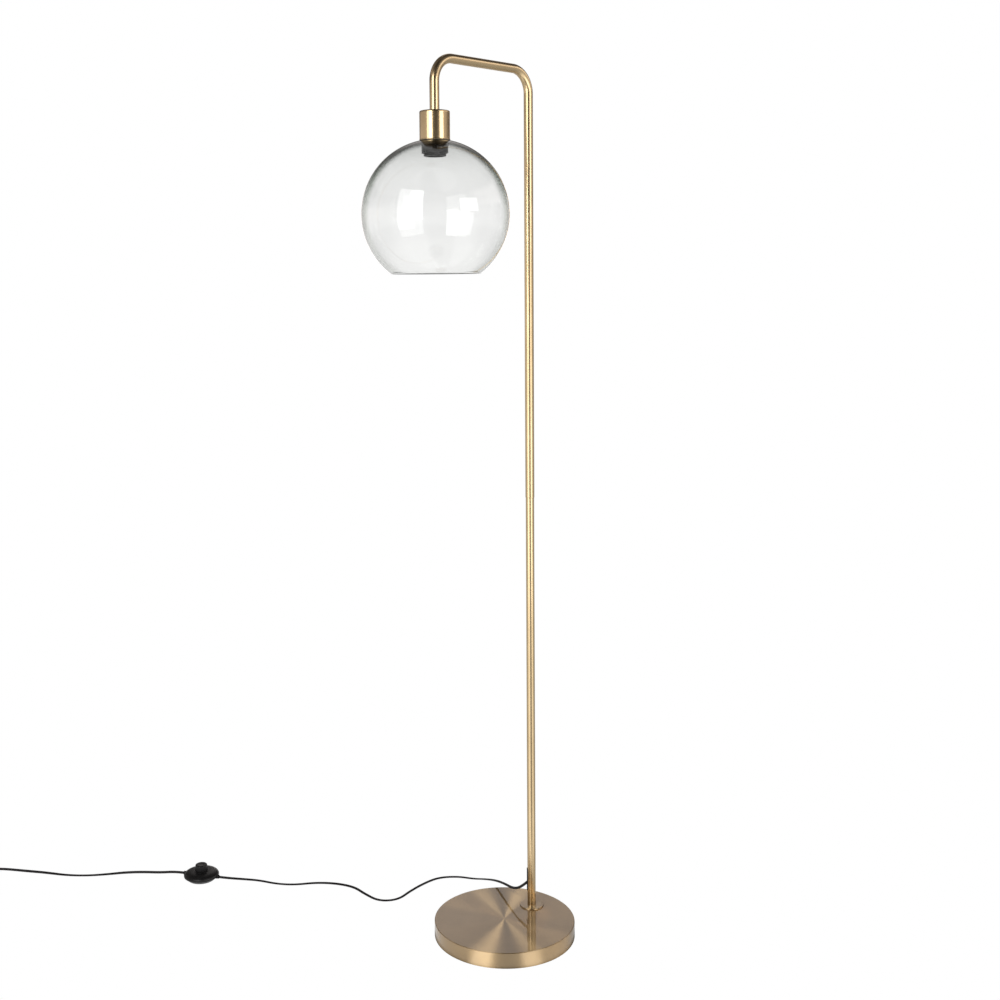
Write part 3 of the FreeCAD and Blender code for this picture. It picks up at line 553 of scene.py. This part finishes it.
dressed(lower_tube(), lamp, "brushed_brass", "lower_pole")
dressed(arm_tube(), lamp, "brushed_brass", "upper_pole")


# ---------------------------------------------------------------- head
def cup_shell():
    """Deep-drawn cup: rounded top edge, straight side and a rolled bead at the mouth."""
    r = radius("socket_cup")
    foot, top = heights("socket_cup")
    side, wall = r - 0.5 * mm, 1.2 * mm
    bead = foot + 1.2 * mm
    corners = [
        (near_axis, top), (side, top), (side, bead), (r, bead), (r, foot),
        (side - wall, foot), (side - wall, top - wall), (near_axis, top - wall),
    ]
    radii = [0, 2.6 * mm, 0.15 * mm, 0.45 * mm, 0.4 * mm, 0.2 * mm, 1.4 * mm, 0]
    return turned("cup", filled_in(softened(corners, radii), 6 * mm), head_x, around=160)


def shade_ring():
    """Flanged ring screwed up on the lampholder, its outside ribbed by small round grooves."""
    flange, bore = radius("shade_ring"), radius("holder_body") + 0.05 * mm
    body, groove, pitch = flange - 1.5 * mm, 0.35 * mm, 2.0 * mm
    foot, top = heights("shade_ring")
    step = top - 2 * mm
    ribbed = np.linspace(step - 1 * mm, foot + 1 * mm, 73)
    wave = body - groove * (0.5 - 0.5 * np.cos(2 * np.pi * (ribbed - ribbed[0]) / pitch))
    upper = softened([(bore, top), (flange, top), (flange, step), (body, step), (body, ribbed[0])],
                     [0, 0.4 * mm, 0.3 * mm, 0.2 * mm, 0])
    lower = softened([(wave[-1], ribbed[-1]), (body, foot), (bore, foot)], [0, 0.5 * mm, 0])
    outline = np.concatenate([upper, np.stack([wave, ribbed], 1)[1:-1], lower])
    return turned("clamp_ring", outline, head_x, around=128, closed=True)


def glass_shell():
    """Sphere of the outer radius and one wall inside it, from a flat neck land to a round lip."""
    r, wall = 121.5 * mm, 3.0 * mm
    inner_r = r - wall
    land, hole, mouth = 25.0 * mm, 20.75 * mm, 73.0 * mm
    land_edge, ease = land - 0.8 * mm, 0.5 * mm
    land_top = np.sqrt(r * r - land * land)
    land_under = np.sqrt(inner_r * inner_r - land * land)
    mouth_turn = np.pi - np.arcsin(mouth / r)
    outer = np.linspace(np.arcsin(land / r), mouth_turn, 120)
    inner = np.linspace(mouth_turn, np.arcsin(land / inner_r), 120)
    tangent = np.array([np.cos(mouth_turn), -np.sin(mouth_turn)])
    radial = np.array([np.sin(mouth_turn), np.cos(mouth_turn)])
    lip = np.linspace(0, np.pi, 12)[1:-1, None]
    lip_arc = radial * (r - wall / 2) + wall / 2 * (np.cos(lip) * radial + np.sin(lip) * tangent)
    neck = np.array([
        (land_edge, land_under), (hole + ease, land_under), (hole, land_under + ease),
        (hole, land_top - ease), (hole + ease, land_top), (land_edge, land_top),
    ])
    outline = np.concatenate([
        r * np.stack([np.sin(outer), np.cos(outer)], 1),
        lip_arc,
        inner_r * np.stack([np.sin(inner), np.cos(inner)], 1),
        neck,
    ])
    outline[:, 1] += high("glass_globe")[2] - land_top
    return turned("globe", outline, head_x, around=256, closed=True)


def holder_skirt():
    """Lampholder's lower half: outer thread, a step and a smooth skirt, round the bore."""
    foot_z, top_z = heights("holder_body")
    core_z = low("holder_core")[2]
    step_z = foot_z + 8.0 * mm
    r, bore = radius("holder_body"), 13.85 * mm
    root, skirt, neck, seat = r - 0.6 * mm, r - 1.25 * mm, r - 2.0 * mm, bore + 3.2 * mm
    crests, pitch = 17, 2.0 * mm
    crest = [(root, 0.1 * mm), (r, 0.7 * mm), (r, 1.2 * mm), (root, 1.8 * mm)]
    thread = [(out, step_z + k * pitch + rise) for k in range(crests) for out, rise in crest]
    foot = softened(
        [(bore, foot_z + 6 * mm), (bore, foot_z), (skirt, foot_z), (skirt, step_z), (root, step_z)],
        [0, 0.8 * mm, 1.2 * mm, 0.3 * mm, 0],
    )
    top = [(neck, top_z - 6 * mm), (neck, top_z), (seat, top_z), (seat, core_z), (bore, core_z)]
    outline = np.concatenate([foot, thread, top])
    return turned("holder_skirt", outline, head_x, around=128, closed=True)


def lamp_thread():
    """Screw shell: the wall's radius swings with turn and height, one wave for each pitch."""
    inner, wall, pitch, depth = radius("screw_shell") - 0.9 * mm, 0.35 * mm, 3.6 * mm, 0.45 * mm
    z = np.linspace(*heights("screw_shell"), 90)
    a = np.linspace(0, 2 * np.pi, 96, endpoint=False)
    wave = depth * (0.5 + 0.5 * np.cos(2 * np.pi * z[:, None] / pitch - a))
    r_in = inner + wave
    r = np.concatenate([r_in, (r_in + wall)[::-1]])
    height = np.concatenate([z, z[::-1]])[:, None] + 0 * a
    grid = np.stack([head_x + r * np.cos(a), r * np.sin(a), height], -1)
    return surface("lamp_thread", grid, closed=True)


dressed(cup_shell(), lamp, "brushed_brass", "socket_cup", look=brass_cup)
dressed(shade_ring(), lamp, "black_plastic", "shade_ring", look=black_resin)
dressed(glass_shell(), lamp, "smoked_glass", "glass_globe")
dressed(holder_skirt(), lamp, "black_plastic", "holder_body", look=black_resin)
dressed(lamp_thread(), lamp, "plain_brass", "screw_shell")


# ---------------------------------------------------------------- foot switch
def switch_foot():
    """Shallow open dish: a flat foot, a side that slopes out, and a shadow groove at the
    parting line."""
    r, parting = radius("switch_lower_housing"), high("switch_lower_housing")[2]
    foot_r, wall, recess = 25.0 * mm, 2.0 * mm, 0.6 * mm
    brim = parting - 0.1 * mm
    corners = [
        (near_axis, recess), (foot_r - 5 * mm, recess), (foot_r - 5.6 * mm, 0.0), (foot_r, 0.0),
        (r, parting - 0.5 * mm), (r - 0.6 * mm, brim), (r - wall, brim),
        (foot_r - wall / 2, wall), (near_axis, wall),
    ]
    radii = [0, 0.2 * mm, 0.2 * mm, 3.0 * mm, 0.3 * mm, 0.1 * mm, 0.2 * mm, 1.0 * mm, 0]
    outline = filled_in(softened(corners, radii), 4 * mm)
    return turned("switch_foot", outline, switch_at[0], switch_at[1], around=128)


def switch_dome():
    """Upper shell: a low crown, a flat rim and a hole.

    The crown is (r, z) = (a + b cos^full t, c + d sin^flat t), and so is its inside.
    """
    r = radius("switch_upper_housing")
    parting, top = heights("switch_upper_housing")
    hole, wall, shoulder = 11.8 * mm, 2.0 * mm, 15.0 * mm
    side_z, crown_z = parting + 1 * mm, top - 0.4 * mm
    full, flat = 0.85, 1.05
    t = np.linspace(0, np.pi / 2, 18)
    crown = np.stack([
        shoulder + (r - shoulder) * np.cos(t) ** full,
        side_z + (crown_z - side_z) * np.sin(t) ** flat,
    ], 1)
    rim = softened(
        [(shoulder, crown_z), (hole + 2.4 * mm, crown_z), (hole + 2.0 * mm, top), (hole, top),
         (hole, top - wall), (shoulder, top - wall)],
        [0, 0.3 * mm, 0.3 * mm, 0.5 * mm, 0.3 * mm, 0],
    )
    inner = np.stack([
        shoulder - wall + (r - shoulder) * np.sin(t) ** full,
        side_z + (top - wall - side_z) * np.cos(t) ** flat,
    ], 1)
    foot = np.array([(r - wall, parting), (r - 0.4 * mm, parting), (r, parting + 0.4 * mm)])
    outline = np.concatenate([crown, rim[1:-1], inner[1:], foot])
    return turned("switch_dome", outline, switch_at[0], switch_at[1], around=128, closed=True)


def foot_key():
    """Tall round key with a soft edge, a slightly dished top and a stop flange below."""
    bottom, top = heights("switch_button")
    r, flange, wall = 11.5 * mm, radius("switch_button"), 2.0 * mm
    dish_r, dish_depth = 7.5 * mm, 0.7 * mm
    across = np.linspace(near_axis, dish_r, 8)
    dish = np.stack([across, top - dish_depth * np.cos(np.pi / 2 * across / dish_r)], 1)
    stop, roof = bottom + wall, top - wall
    outer = softened(
        [(dish_r, top), (r, top), (r, stop), (flange, stop), (flange, bottom),
         (r - wall, bottom), (r - wall, roof), (near_axis, roof)],
        [0, 2.0 * mm, 0.2 * mm, 0.2 * mm, 0.2 * mm, 0.2 * mm, 0.5 * mm, 0],
    )
    outline = np.concatenate([dish, outer[1:]])
    return turned("foot_key", outline, switch_at[0], switch_at[1])


def cord_boot(name, at, heading, root_r, tip_r, length, ribs):
    """Tapered sleeve along the cord, its outside waisted between ribs by a cosine."""
    bore, waist = 2.45 * mm, 0.35 * mm
    s = np.linspace(0, 1, 12 * ribs + 1)
    r = root_r + (tip_r - root_r) * s - waist * (0.5 - 0.5 * np.cos(2 * np.pi * ribs * s))
    outline = np.concatenate([np.stack([r, s * length], 1), [(bore, length), (bore, 0.0)]])
    return surface(name, lying(turned_grid(outline, 40), at, heading), closed=True)


def return_spring():
    """Coil spring between the carrier and the key's roof: (R cos t, R sin t), rising evenly."""
    wire_r, coil_r, turns = 0.4 * mm, 6.5 * mm, 5
    foot, top = heights("switch_spring")
    t = np.linspace(0, 2 * np.pi * turns, 24 * turns + 1)
    out = np.stack([np.cos(t), np.sin(t), 0 * t], 1)
    wire = switch_at + coil_r * out
    wire[:, 2] = np.linspace(foot + wire_r, top - wire_r, len(t))
    a = np.linspace(0, 2 * np.pi, 10, endpoint=False)[:, None]
    ring = np.cos(a) * out[:, None] + np.sin(a) * np.array([0, 0, 1.0])
    return surface("return_spring", wire[:, None] + wire_r * ring)


dressed(switch_foot(), lamp, "black_plastic", "switch_lower_housing")
dressed(switch_dome(), lamp, "black_plastic", "switch_upper_housing")
dressed(foot_key(), button_body, "black_plastic", "switch_button")
spring = dressed(return_spring(), lamp, "spring_steel", "switch_spring")
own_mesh(spring)

switch_axis = np.array([np.cos(switch_turn), np.sin(switch_turn), 0])
switch_middle = switch_at + np.array([0, 0, high("switch_lower_housing")[2]])
bush_root, bush_length = 29 * mm, 8 * mm
for name, way_out, heading in (("boot_in", -switch_axis, switch_turn + np.pi),
                               ("boot_out", switch_axis, switch_turn)):
    boot = cord_boot(name, switch_middle + way_out * bush_root, heading,
                     root_r=4.4 * mm, tip_r=3.7 * mm, length=bush_length, ribs=3)
    dressed(boot, lamp, "black_rubber", "switch_cord_bushes")


# ---------------------------------------------------------------- cord routes
cord_width, cord_height = 4.8 * mm, 2.6 * mm
exit_turn, exit_dip = np.radians(128.0), np.radians(42.0)
exit_out = np.array([np.cos(exit_turn), np.sin(exit_turn), 0])
exit_heading = exit_out * np.cos(exit_dip) - np.array([0, 0, np.sin(exit_dip)])
exit_point = np.array([pole_x, 0, 70.5 * mm]) + exit_out * 8.5 * mm
bush_tip = bush_root + bush_length
switch_in = switch_middle - switch_axis * bush_tip
switch_out = switch_middle + switch_axis * bush_tip

# control points of the two runs, in metres; lying_z is the height of a cord's middle on the floor
lying_z = cord_width / 2
to_switch = [
    (0.0635, 0.038, 0.051), (0.0775, 0.071, 0.0445), (0.091, 0.107, 0.035),
    (0.104, 0.147, 0.0205), (0.114, 0.187, 0.005), (0.104, 0.220, lying_z),
    (0.075, 0.244, lying_z), (0.039, 0.2465, lying_z), (-0.003, 0.242, lying_z),
    (-0.045, 0.232, lying_z), (-0.074, 0.254, lying_z),
    (-0.073, 0.296, lying_z), (-0.068, 0.331, lying_z), (-0.081, 0.367, lying_z),
    (-0.107, 0.400, lying_z), (-0.142, 0.423, lying_z), (-0.164, 0.452, lying_z),
    (-0.178, 0.488, lying_z), (-0.199, 0.512, 0.004), (-0.2219, 0.52904, 0.008),
]
run_out = [
    (-0.2789, 0.62776, 0.008), (-0.296, 0.653, 0.004), (-0.3165, 0.683, lying_z),
    (-0.3425, 0.7075, lying_z), (-0.371, 0.7265, lying_z), (-0.402, 0.7505, lying_z),
    (-0.4295, 0.7815, lying_z), (-0.4525, 0.8205, lying_z), (-0.478, 0.8575, lying_z),
    (-0.503, 0.8965, lying_z),
]
run_out_length = 0.40    # from the switch to the coil

# the put-away coil: half turns in on the floor, a climb, and half turns out on the next layer
coil_at = np.array([-0.5526, 0.904, 0.0])
coil_turn = np.radians(45.0)
coil_start_r, coil_pitch = 30.0 * mm, 5.4 * mm
coil_in, coil_out = 3, 4
points_per_half = 8


def coil_points():
    """Points of the coil: in each half turn the radius swings by a cosine from one end's
    distance to the other's, and the height climbs in the half turn where it reverses."""
    radii = [coil_start_r - k * coil_pitch / 2 for k in range(coil_in + 1)]
    radii += [radii[-1] + (k + 1) * coil_pitch / 2 for k in range(coil_out)]
    ease = 1 / np.cos(np.pi / (2 * points_per_half))
    near, z = coil_start_r, cord_width / 2
    points = []
    for k, r in enumerate(radii):
        far = 2 * r - near
        a = np.pi * np.arange(points_per_half) / points_per_half
        rise = coil_pitch if k == coil_in else 0.0
        reach = ((near + far) / 2 + (near - far) / 2 * np.cos(a)) * ease
        turn = a + k * np.pi + coil_turn
        height = z + rise * (0.5 - 0.5 * np.cos(a))
        points.append(np.stack([reach * np.cos(turn), reach * np.sin(turn), height], 1))
        near, z = far, z + rise
    turn = len(radii) * np.pi + coil_turn
    points.append(np.array([[near * np.cos(turn), near * np.sin(turn), z]]))
    return coil_at + np.concatenate(points), turn + np.pi / 2


def smooth_line(name, points):
    """Points along a NURBS line whose control points are given."""
    curve = bpy.data.curves.new(name, "CURVE")
    curve.dimensions = "3D"
    curve.resolution_u = 8
    spline = curve.splines.new("NURBS")
    spline.points.add(len(points) - 1)
    spline.points.foreach_set("co", np.c_[np.array(points), np.ones(len(points))].ravel())
    spline.order_u = 3
    spline.use_endpoint_u = True
    holder = bpy.data.objects.new(name, curve)
    mesh = bpy.data.meshes.new_from_object(holder)
    line = np.empty(3 * len(mesh.vertices))
    mesh.vertices.foreach_get("co", line)
    bpy.data.objects.remove(holder)
    bpy.data.curves.remove(curve)
    bpy.data.meshes.remove(mesh)
    return line.reshape(-1, 3)


def flat_cord(name, line, roll):
    """Flat twin cord: a blunt oval carried along the line, rolled by an angle from lying flat.

    The oval is (a |cos|^0.8, b |sin|^0.8), with their signs. On the floor its middle drops by
    what the rolled section is lower than the round cord that the line is the centre of.
    """
    tangent = np.gradient(line, axis=0)
    tangent /= np.linalg.norm(tangent, axis=1, keepdims=True)
    side = np.cross(tangent, np.array([0, 0, 1.0]))
    side /= np.linalg.norm(side, axis=1, keepdims=True)
    up = np.cross(side, tangent)
    wide = np.cos(roll)[:, None] * side + np.sin(roll)[:, None] * up
    thin = -np.sin(roll)[:, None] * side + np.cos(roll)[:, None] * up
    a = np.linspace(0, 2 * np.pi, 20, endpoint=False)
    across = cord_width / 2 * blunted(np.cos(a), 0.8)
    deep = cord_height / 2 * blunted(np.sin(a), 0.8)
    half_height = cord_height / 2 + (cord_width - cord_height) / 2 * np.abs(np.sin(roll))
    centre = line - np.array([0, 0, 1.0]) * (cord_width / 2 - half_height)[:, None]
    grid = centre[:, None] + across[:, None] * wide[:, None] + deep[:, None] * thin[:, None]
    return surface(name, grid)


def way(line):
    """Distance along a line at each of its points."""
    return np.concatenate([[0], np.cumsum(np.linalg.norm(np.diff(line, axis=0), axis=1))])


def roll_to_switch(s):
    """On edge at the slot and leaning at the switch, and between them twisting by a product of
    two sines."""
    slot_reach, switch_reach = 0.035, 0.05
    quick, slow, shift = 0.047, 0.13, 0.6
    on_edge = np.exp(-(s / slot_reach) ** 2) + 0.3 * np.exp(-((s[-1] - s) / switch_reach) ** 2)
    twist = 0.12 + 0.12 * np.sin(s / quick) * np.sin(s / slow + shift)
    return np.pi / 2 * np.clip(on_edge + (1 - on_edge) * twist, 0, 1)


def roll_run_out(s):
    """Slowly twisting by a sine, then on edge from the coil on."""
    wave, shift, blend = 0.055, 1.0, 0.02
    twist = 0.5 + 0.4 * np.sin(s / wave + shift)
    in_coil = 1 / (1 + np.exp(-(s - run_out_length) / blend))
    return np.pi / 2 * (twist * (1 - in_coil) + in_coil)


route_in = [exit_point, exit_point + exit_heading * 17 * mm, *to_switch, switch_in]
line_in = smooth_line("route_in", route_in)
flex_to_switch = flat_cord("flex_to_switch", line_in, roll_to_switch(way(line_in)))

coil, plug_turn = coil_points()
plug_axis = np.array([np.cos(plug_turn), np.sin(plug_turn), 0])
coil_end = coil[-1] + plug_axis * cord_width
plug_at = coil_end + plug_axis * 12 * mm
lead_end = plug_at + plug_axis * 36.7 * mm
route_out = [switch_out, *run_out, *coil, coil_end, plug_at, (plug_at + lead_end) / 2, lead_end]
line_out = smooth_line("route_out", route_out)
flex_to_plug = flat_cord("flex_to_plug", line_out, roll_run_out(way(line_out)))


# ---------------------------------------------------------------- plug
sleeve_length = 25 * mm


def plug_shell():
    """Blunt ovals along the plug: narrow at the cord, a thick grip, and flat at the pins.

    Width and thickness swing by half cosines between tail, grip and front, and the front
    edge is rounded by shrinking the last rings along a quarter circle.
    """
    start, grip, front, edge = sleeve_length, 40 * mm, 60 * mm, 1.2 * mm
    x = np.concatenate([np.linspace(start, grip, 16), np.linspace(grip, front - edge, 16)[1:]])

    def swing(a, b, t):
        return a + (b - a) * (0.5 - 0.5 * np.cos(np.pi * np.clip(t, 0, 1)))

    t_in, t_out = (x - start) / (grip - start), (x - grip) / (front - 8 * mm - grip)
    width = np.where(x < grip, swing(14, 29, t_in), swing(29, 35.3, t_out)) * mm
    thick = np.where(x < grip, swing(10, 15.6, t_in), swing(15.6, 13.7, t_out)) * mm
    q = np.linspace(0, np.pi / 2, 6)
    shrink = 2 * edge * (1 - np.cos(q))
    x = np.concatenate([[start], x, front - edge + edge * np.sin(q)])
    width = np.concatenate([[width[0] - 2 * mm], width, width[-1] - shrink])
    thick = np.concatenate([[thick[0] - 2 * mm], thick, thick[-1] - shrink])
    a = np.linspace(0, 2 * np.pi, 72, endpoint=False)
    across = width[:, None] / 2 * blunted(np.cos(a), 0.6)
    deep = thick[:, None] / 2 * blunted(np.sin(a), 0.75)
    grid = np.stack([across, deep, x[:, None] + 0 * a], -1)
    return surface("plug_shell", lying(grid, plug_at, plug_turn))


def plug_pin(name, side):
    """Round pin with a thinner root inside the body and a domed tip."""
    r, root_r, axis_r, tip = 2.0 * mm, 1.6 * mm, 0.1 * mm, 1.2 * mm
    base, shoulder, end = 48 * mm, 60 * mm, 79 * mm
    q = np.linspace(0, np.pi / 2, 6)
    body = [
        (axis_r, base), (root_r, base), (root_r, shoulder - 0.1 * mm), (r, shoulder),
        (r, shoulder + 2 * mm), (r, end - tip - 0.4 * mm),
    ]
    dome = np.stack([r - tip + tip * np.cos(q), end - tip + tip * np.sin(q)], 1)
    outline = np.concatenate([body, dome, [(axis_r, end)]])
    grid = turned_grid(outline, 32) + np.array([side, 0, 0])
    return surface(name, lying(grid, plug_at, plug_turn))


pin_side = 9.3 * mm
plug_pieces = [
    dressed(plug_shell(), lamp, "black_plastic", "plug_body"),
    dressed(plug_pin("pin_left", pin_side), lamp, "plain_brass", "plug_pins"),
    dressed(plug_pin("pin_right", -pin_side), lamp, "plain_brass", "plug_pins"),
]
plug_boot = cord_boot("plug_boot", plug_at + plug_axis * sleeve_length, plug_turn + np.pi,
                      root_r=4.6 * mm, tip_r=3.5 * mm, length=sleeve_length, ribs=6)
plug_pieces.append(dressed(plug_boot, lamp, "black_rubber", "plug_relief"))

dressed(flex_to_switch, lamp, "cord_jacket", "cord_to_switch")
dressed(flex_to_plug, lamp, "cord_jacket", "cord_run_out", "cord_coil", "plug_lead")


# ---------------------------------------------------------------- camera
photo_heading = 44.93    # degrees from +Y towards +X


def photo_camera():
    """Stands where the photograph was taken from, with its dip and roll in degrees."""
    dip, roll = 4.35, -0.50
    stands_at = (-1.69081, -1.56911, 1.16156)
    data = bpy.data.cameras.new("camera")
    data.sensor_width = 36.0
    data.lens = 47.97
    data.shift_x = 0.0498
    data.shift_y = -0.115
    data.clip_end = 50.0
    camera = bpy.data.objects.new("camera", data)
    turn = Matrix.Rotation(-np.radians(photo_heading), 4, "Z")
    tilt = Matrix.Rotation(np.radians(90 - dip), 4, "X")
    spin = Matrix.Rotation(np.radians(roll), 4, "Z")
    camera.matrix_world = Matrix.Translation(stands_at) @ turn @ tilt @ spin
    bpy.context.collection.objects.link(camera)
    bpy.context.scene.camera = camera


# ---------------------------------------------------------------- studio
def stepped(tree, value, low_end, high_end, stops):
    """Level that runs through the stops (value, level) between two ends."""
    share = tree.range(value, low_end, high_end, 0.0, 1.0)
    stops = [((at - low_end) / (high_end - low_end), (level, level, level)) for at, level in stops]
    return tree.ramp(share, stops)


def round_the_lamp(tree, place, centre, stops):
    """Level by heading round the lamp, in degrees from the photographer's side, + to the right."""
    moved = tree.vector_math("SUBTRACT", place, centre)
    facing = (0.0, 0.0, np.radians(90 + photo_heading))
    aligned = tree.node("ShaderNodeMapping", Vector=moved, Rotation=facing).outputs["Vector"]
    parts = tree.split(aligned)
    turn = tree.math("ARCTAN2", parts["Y"], parts["X"])
    return stepped(tree, turn, -np.pi, np.pi, [(np.radians(a), level) for a, level in stops])


def seen_by(tree, rays, others, level):
    """The level that one kind of rays sees, and what all others see."""
    kind = tree.node("ShaderNodeLightPath").outputs["Is " + rays + " Ray"]
    return tree.range(kind, 0.0, 1.0, others, level)


origin = (0.0, 0.0, 0.0)

# by heading: (degrees, level); by height: (sine of the elevation, level)
room_levels = [
    (-180, 1.0), (-174, 0.85), (-162, 0.28), (-146, 0.18), (-136, 0.26), (-126, 0.45), (-70, 0.50),
    (-60, 0.28), (-18, 0.16), (-8, 0.09), (18, 0.09), (28, 0.18), (56, 0.32), (68, 0.38),
    (98, 0.33), (108, 0.13), (146, 0.15), (162, 0.28), (174, 0.85), (180, 1.0),
]
backdrop_heights = [(-1, 1.0), (0.18, 1.0), (0.30, 0.30), (0.50, 0.30), (0.70, 0.90), (1, 0.90)]
room_heights = [(-1, 1.9), (0.10, 1.9), (0.16, 0.25), (0.36, 0.25), (0.40, 1.0), (1, 1.0)]
high_window = [(-180, 0.0), (56, 0.0), (72, 1.4), (116, 1.4), (130, 0.0), (180, 0.0)]
window_heights = [(-1, 0.0), (0.14, 0.0), (0.20, 1.0), (0.42, 1.0), (0.52, 0.0), (1, 0.0)]
# floor levels seen in reflections by heading: painted pools of light, near the lamp and farther out
near_floor_painted_light = [
    (-180, 0.80), (-80, 0.85), (-36, 1.0), (-31, 2.2), (-18, 2.2), (-12, 1.1), (12, 1.1), (17, 1.9),
    (28, 1.8), (36, 1.0), (60, 0.65), (110, 0.50), (180, 0.80),
]
far_floor_painted_light = [
    (-180, 0.55), (-120, 0.62), (-80, 0.75), (-58, 1.6), (-22, 1.6), (-12, 0.40), (22, 0.38),
    (32, 1.4), (62, 1.4), (78, 0.60), (120, 0.42), (180, 0.55),
]


def studio_world():
    """White backdrop to the camera, and to other rays a dim room, slightly warm in reflections.

    The room has a bright foot, a dark band, a dark ceiling and a high window. Seen through
    the glass, a dark band crosses the backdrop above eye level.
    """
    world = bpy.data.worlds.new("studio")
    world.use_nodes = True
    world.node_tree.nodes.clear()
    tree = Nodes(world.node_tree)
    place = tree.place("Generated")
    height = tree.split(place)["Z"]

    def lit(headings, heights_lit):
        around = round_the_lamp(tree, place, origin, headings)
        return tree.math("MULTIPLY", around, stepped(tree, height, -1, 1, heights_lit))

    ceiling = tree.range(height, 0.50, 0.75, 1.0, 0.30)
    room = tree.math("MULTIPLY", lit(room_levels, room_heights), ceiling)
    lit_room = tree.math("ADD", room, lit(high_window, window_heights))
    backdrop = stepped(tree, height, -1, 1, backdrop_heights)
    level = seen_by(tree, "Camera", seen_by(tree, "Transmission", lit_room, backdrop), 1.0)
    reflected = tree.node("ShaderNodeLightPath").outputs["Is Reflection Ray"]
    warmth = tree.mix(reflected, (1.0, 1.0, 1.0, 1.0), (1.05, 0.985, 0.96, 1.0))
    glow = tree.node("ShaderNodeBackground", Color=tree.vector_math("MULTIPLY", level, warmth))
    tree.node("ShaderNodeOutputWorld", Surface=glow.outputs[0])
    bpy.context.scene.world = world


def pale_floor():
    """Wide floor that glows as blown-out white paper. In reflections it shows painted pools of
    light by heading round the lamp and a painted narrow shadow round the base."""
    size = 12.0
    # painted shadow: a dark ring just outside the base, seen in reflections and not by the camera
    shadow, shadow_end, shadow_level = 0.127, 0.134, 0.12
    near_end, far_begins = 0.24, 0.34
    mesh = bpy.data.meshes.new("floor")
    corners = [(-size, -size, 0), (size, -size, 0), (size, size, 0), (-size, size, 0)]
    mesh.from_pydata(corners, [], [(0, 1, 2, 3)])
    floor = bpy.data.objects.new("floor", mesh)
    bpy.context.collection.objects.link(floor)
    paper = bpy.data.materials.new("white paper")
    paper.use_nodes = True
    paper.node_tree.nodes.clear()
    tree = Nodes(paper.node_tree)
    place = tree.place()
    far = round_the_lamp(tree, place, (pole_x, 0.0, 0.0), far_floor_painted_light)
    near = round_the_lamp(tree, place, origin, near_floor_painted_light)
    distance = tree.vector_math("LENGTH", place)
    lit = tree.range(tree.range(distance, near_end, far_begins, 0.0, 1.0), 0.0, 1.0, near, far)
    # painted shadow round the base
    lit = tree.math("MULTIPLY", lit, tree.range(distance, shadow, shadow_end, shadow_level, 1.0))
    level = seen_by(tree, "Camera", seen_by(tree, "Transmission", lit, 1.0), 1.0)
    glow = tree.node("ShaderNodeEmission", Strength=level)
    tree.node("ShaderNodeOutputMaterial", Surface=glow.outputs[0])
    mesh.materials.append(paper)


def softbox(name, start, stop, foot, top, level):
    """Upright box between two headings round the lamp, two metres off, facing it."""
    away = 2.0
    width = 2 * away * np.tan(np.radians(stop - start) / 2)
    data = bpy.data.lights.new(name, "AREA")
    data.shape = "RECTANGLE"
    data.size = width
    data.size_y = top - foot
    data.energy = level * np.pi * width * (top - foot)
    box = bpy.data.objects.new(name, data)
    bpy.context.collection.objects.link(box)
    heading = np.radians(270 - photo_heading + (start + stop) / 2)
    out = np.array([np.cos(heading), np.sin(heading)])
    box.location = (*(away * out), (foot + top) / 2)
    box.rotation_euler = (np.pi / 2, 0.0, heading + np.pi / 2)


photo_camera()
studio_world()
pale_floor()
softbox("left box, inner", -40, -20, 0.95, 2.45, 4.2)
softbox("left box, outer", -58, -40, 1.0, 2.45, 2.3)
softbox("left box, low", -58, -21, 0.10, 0.95, 1.45)
softbox("right box", 34, 64, 1.35, 2.0, 3.0)
softbox("right box, low", 23, 56, 0.10, 1.30, 1.8)
bpy.context.scene.view_settings.view_transform = "Standard"
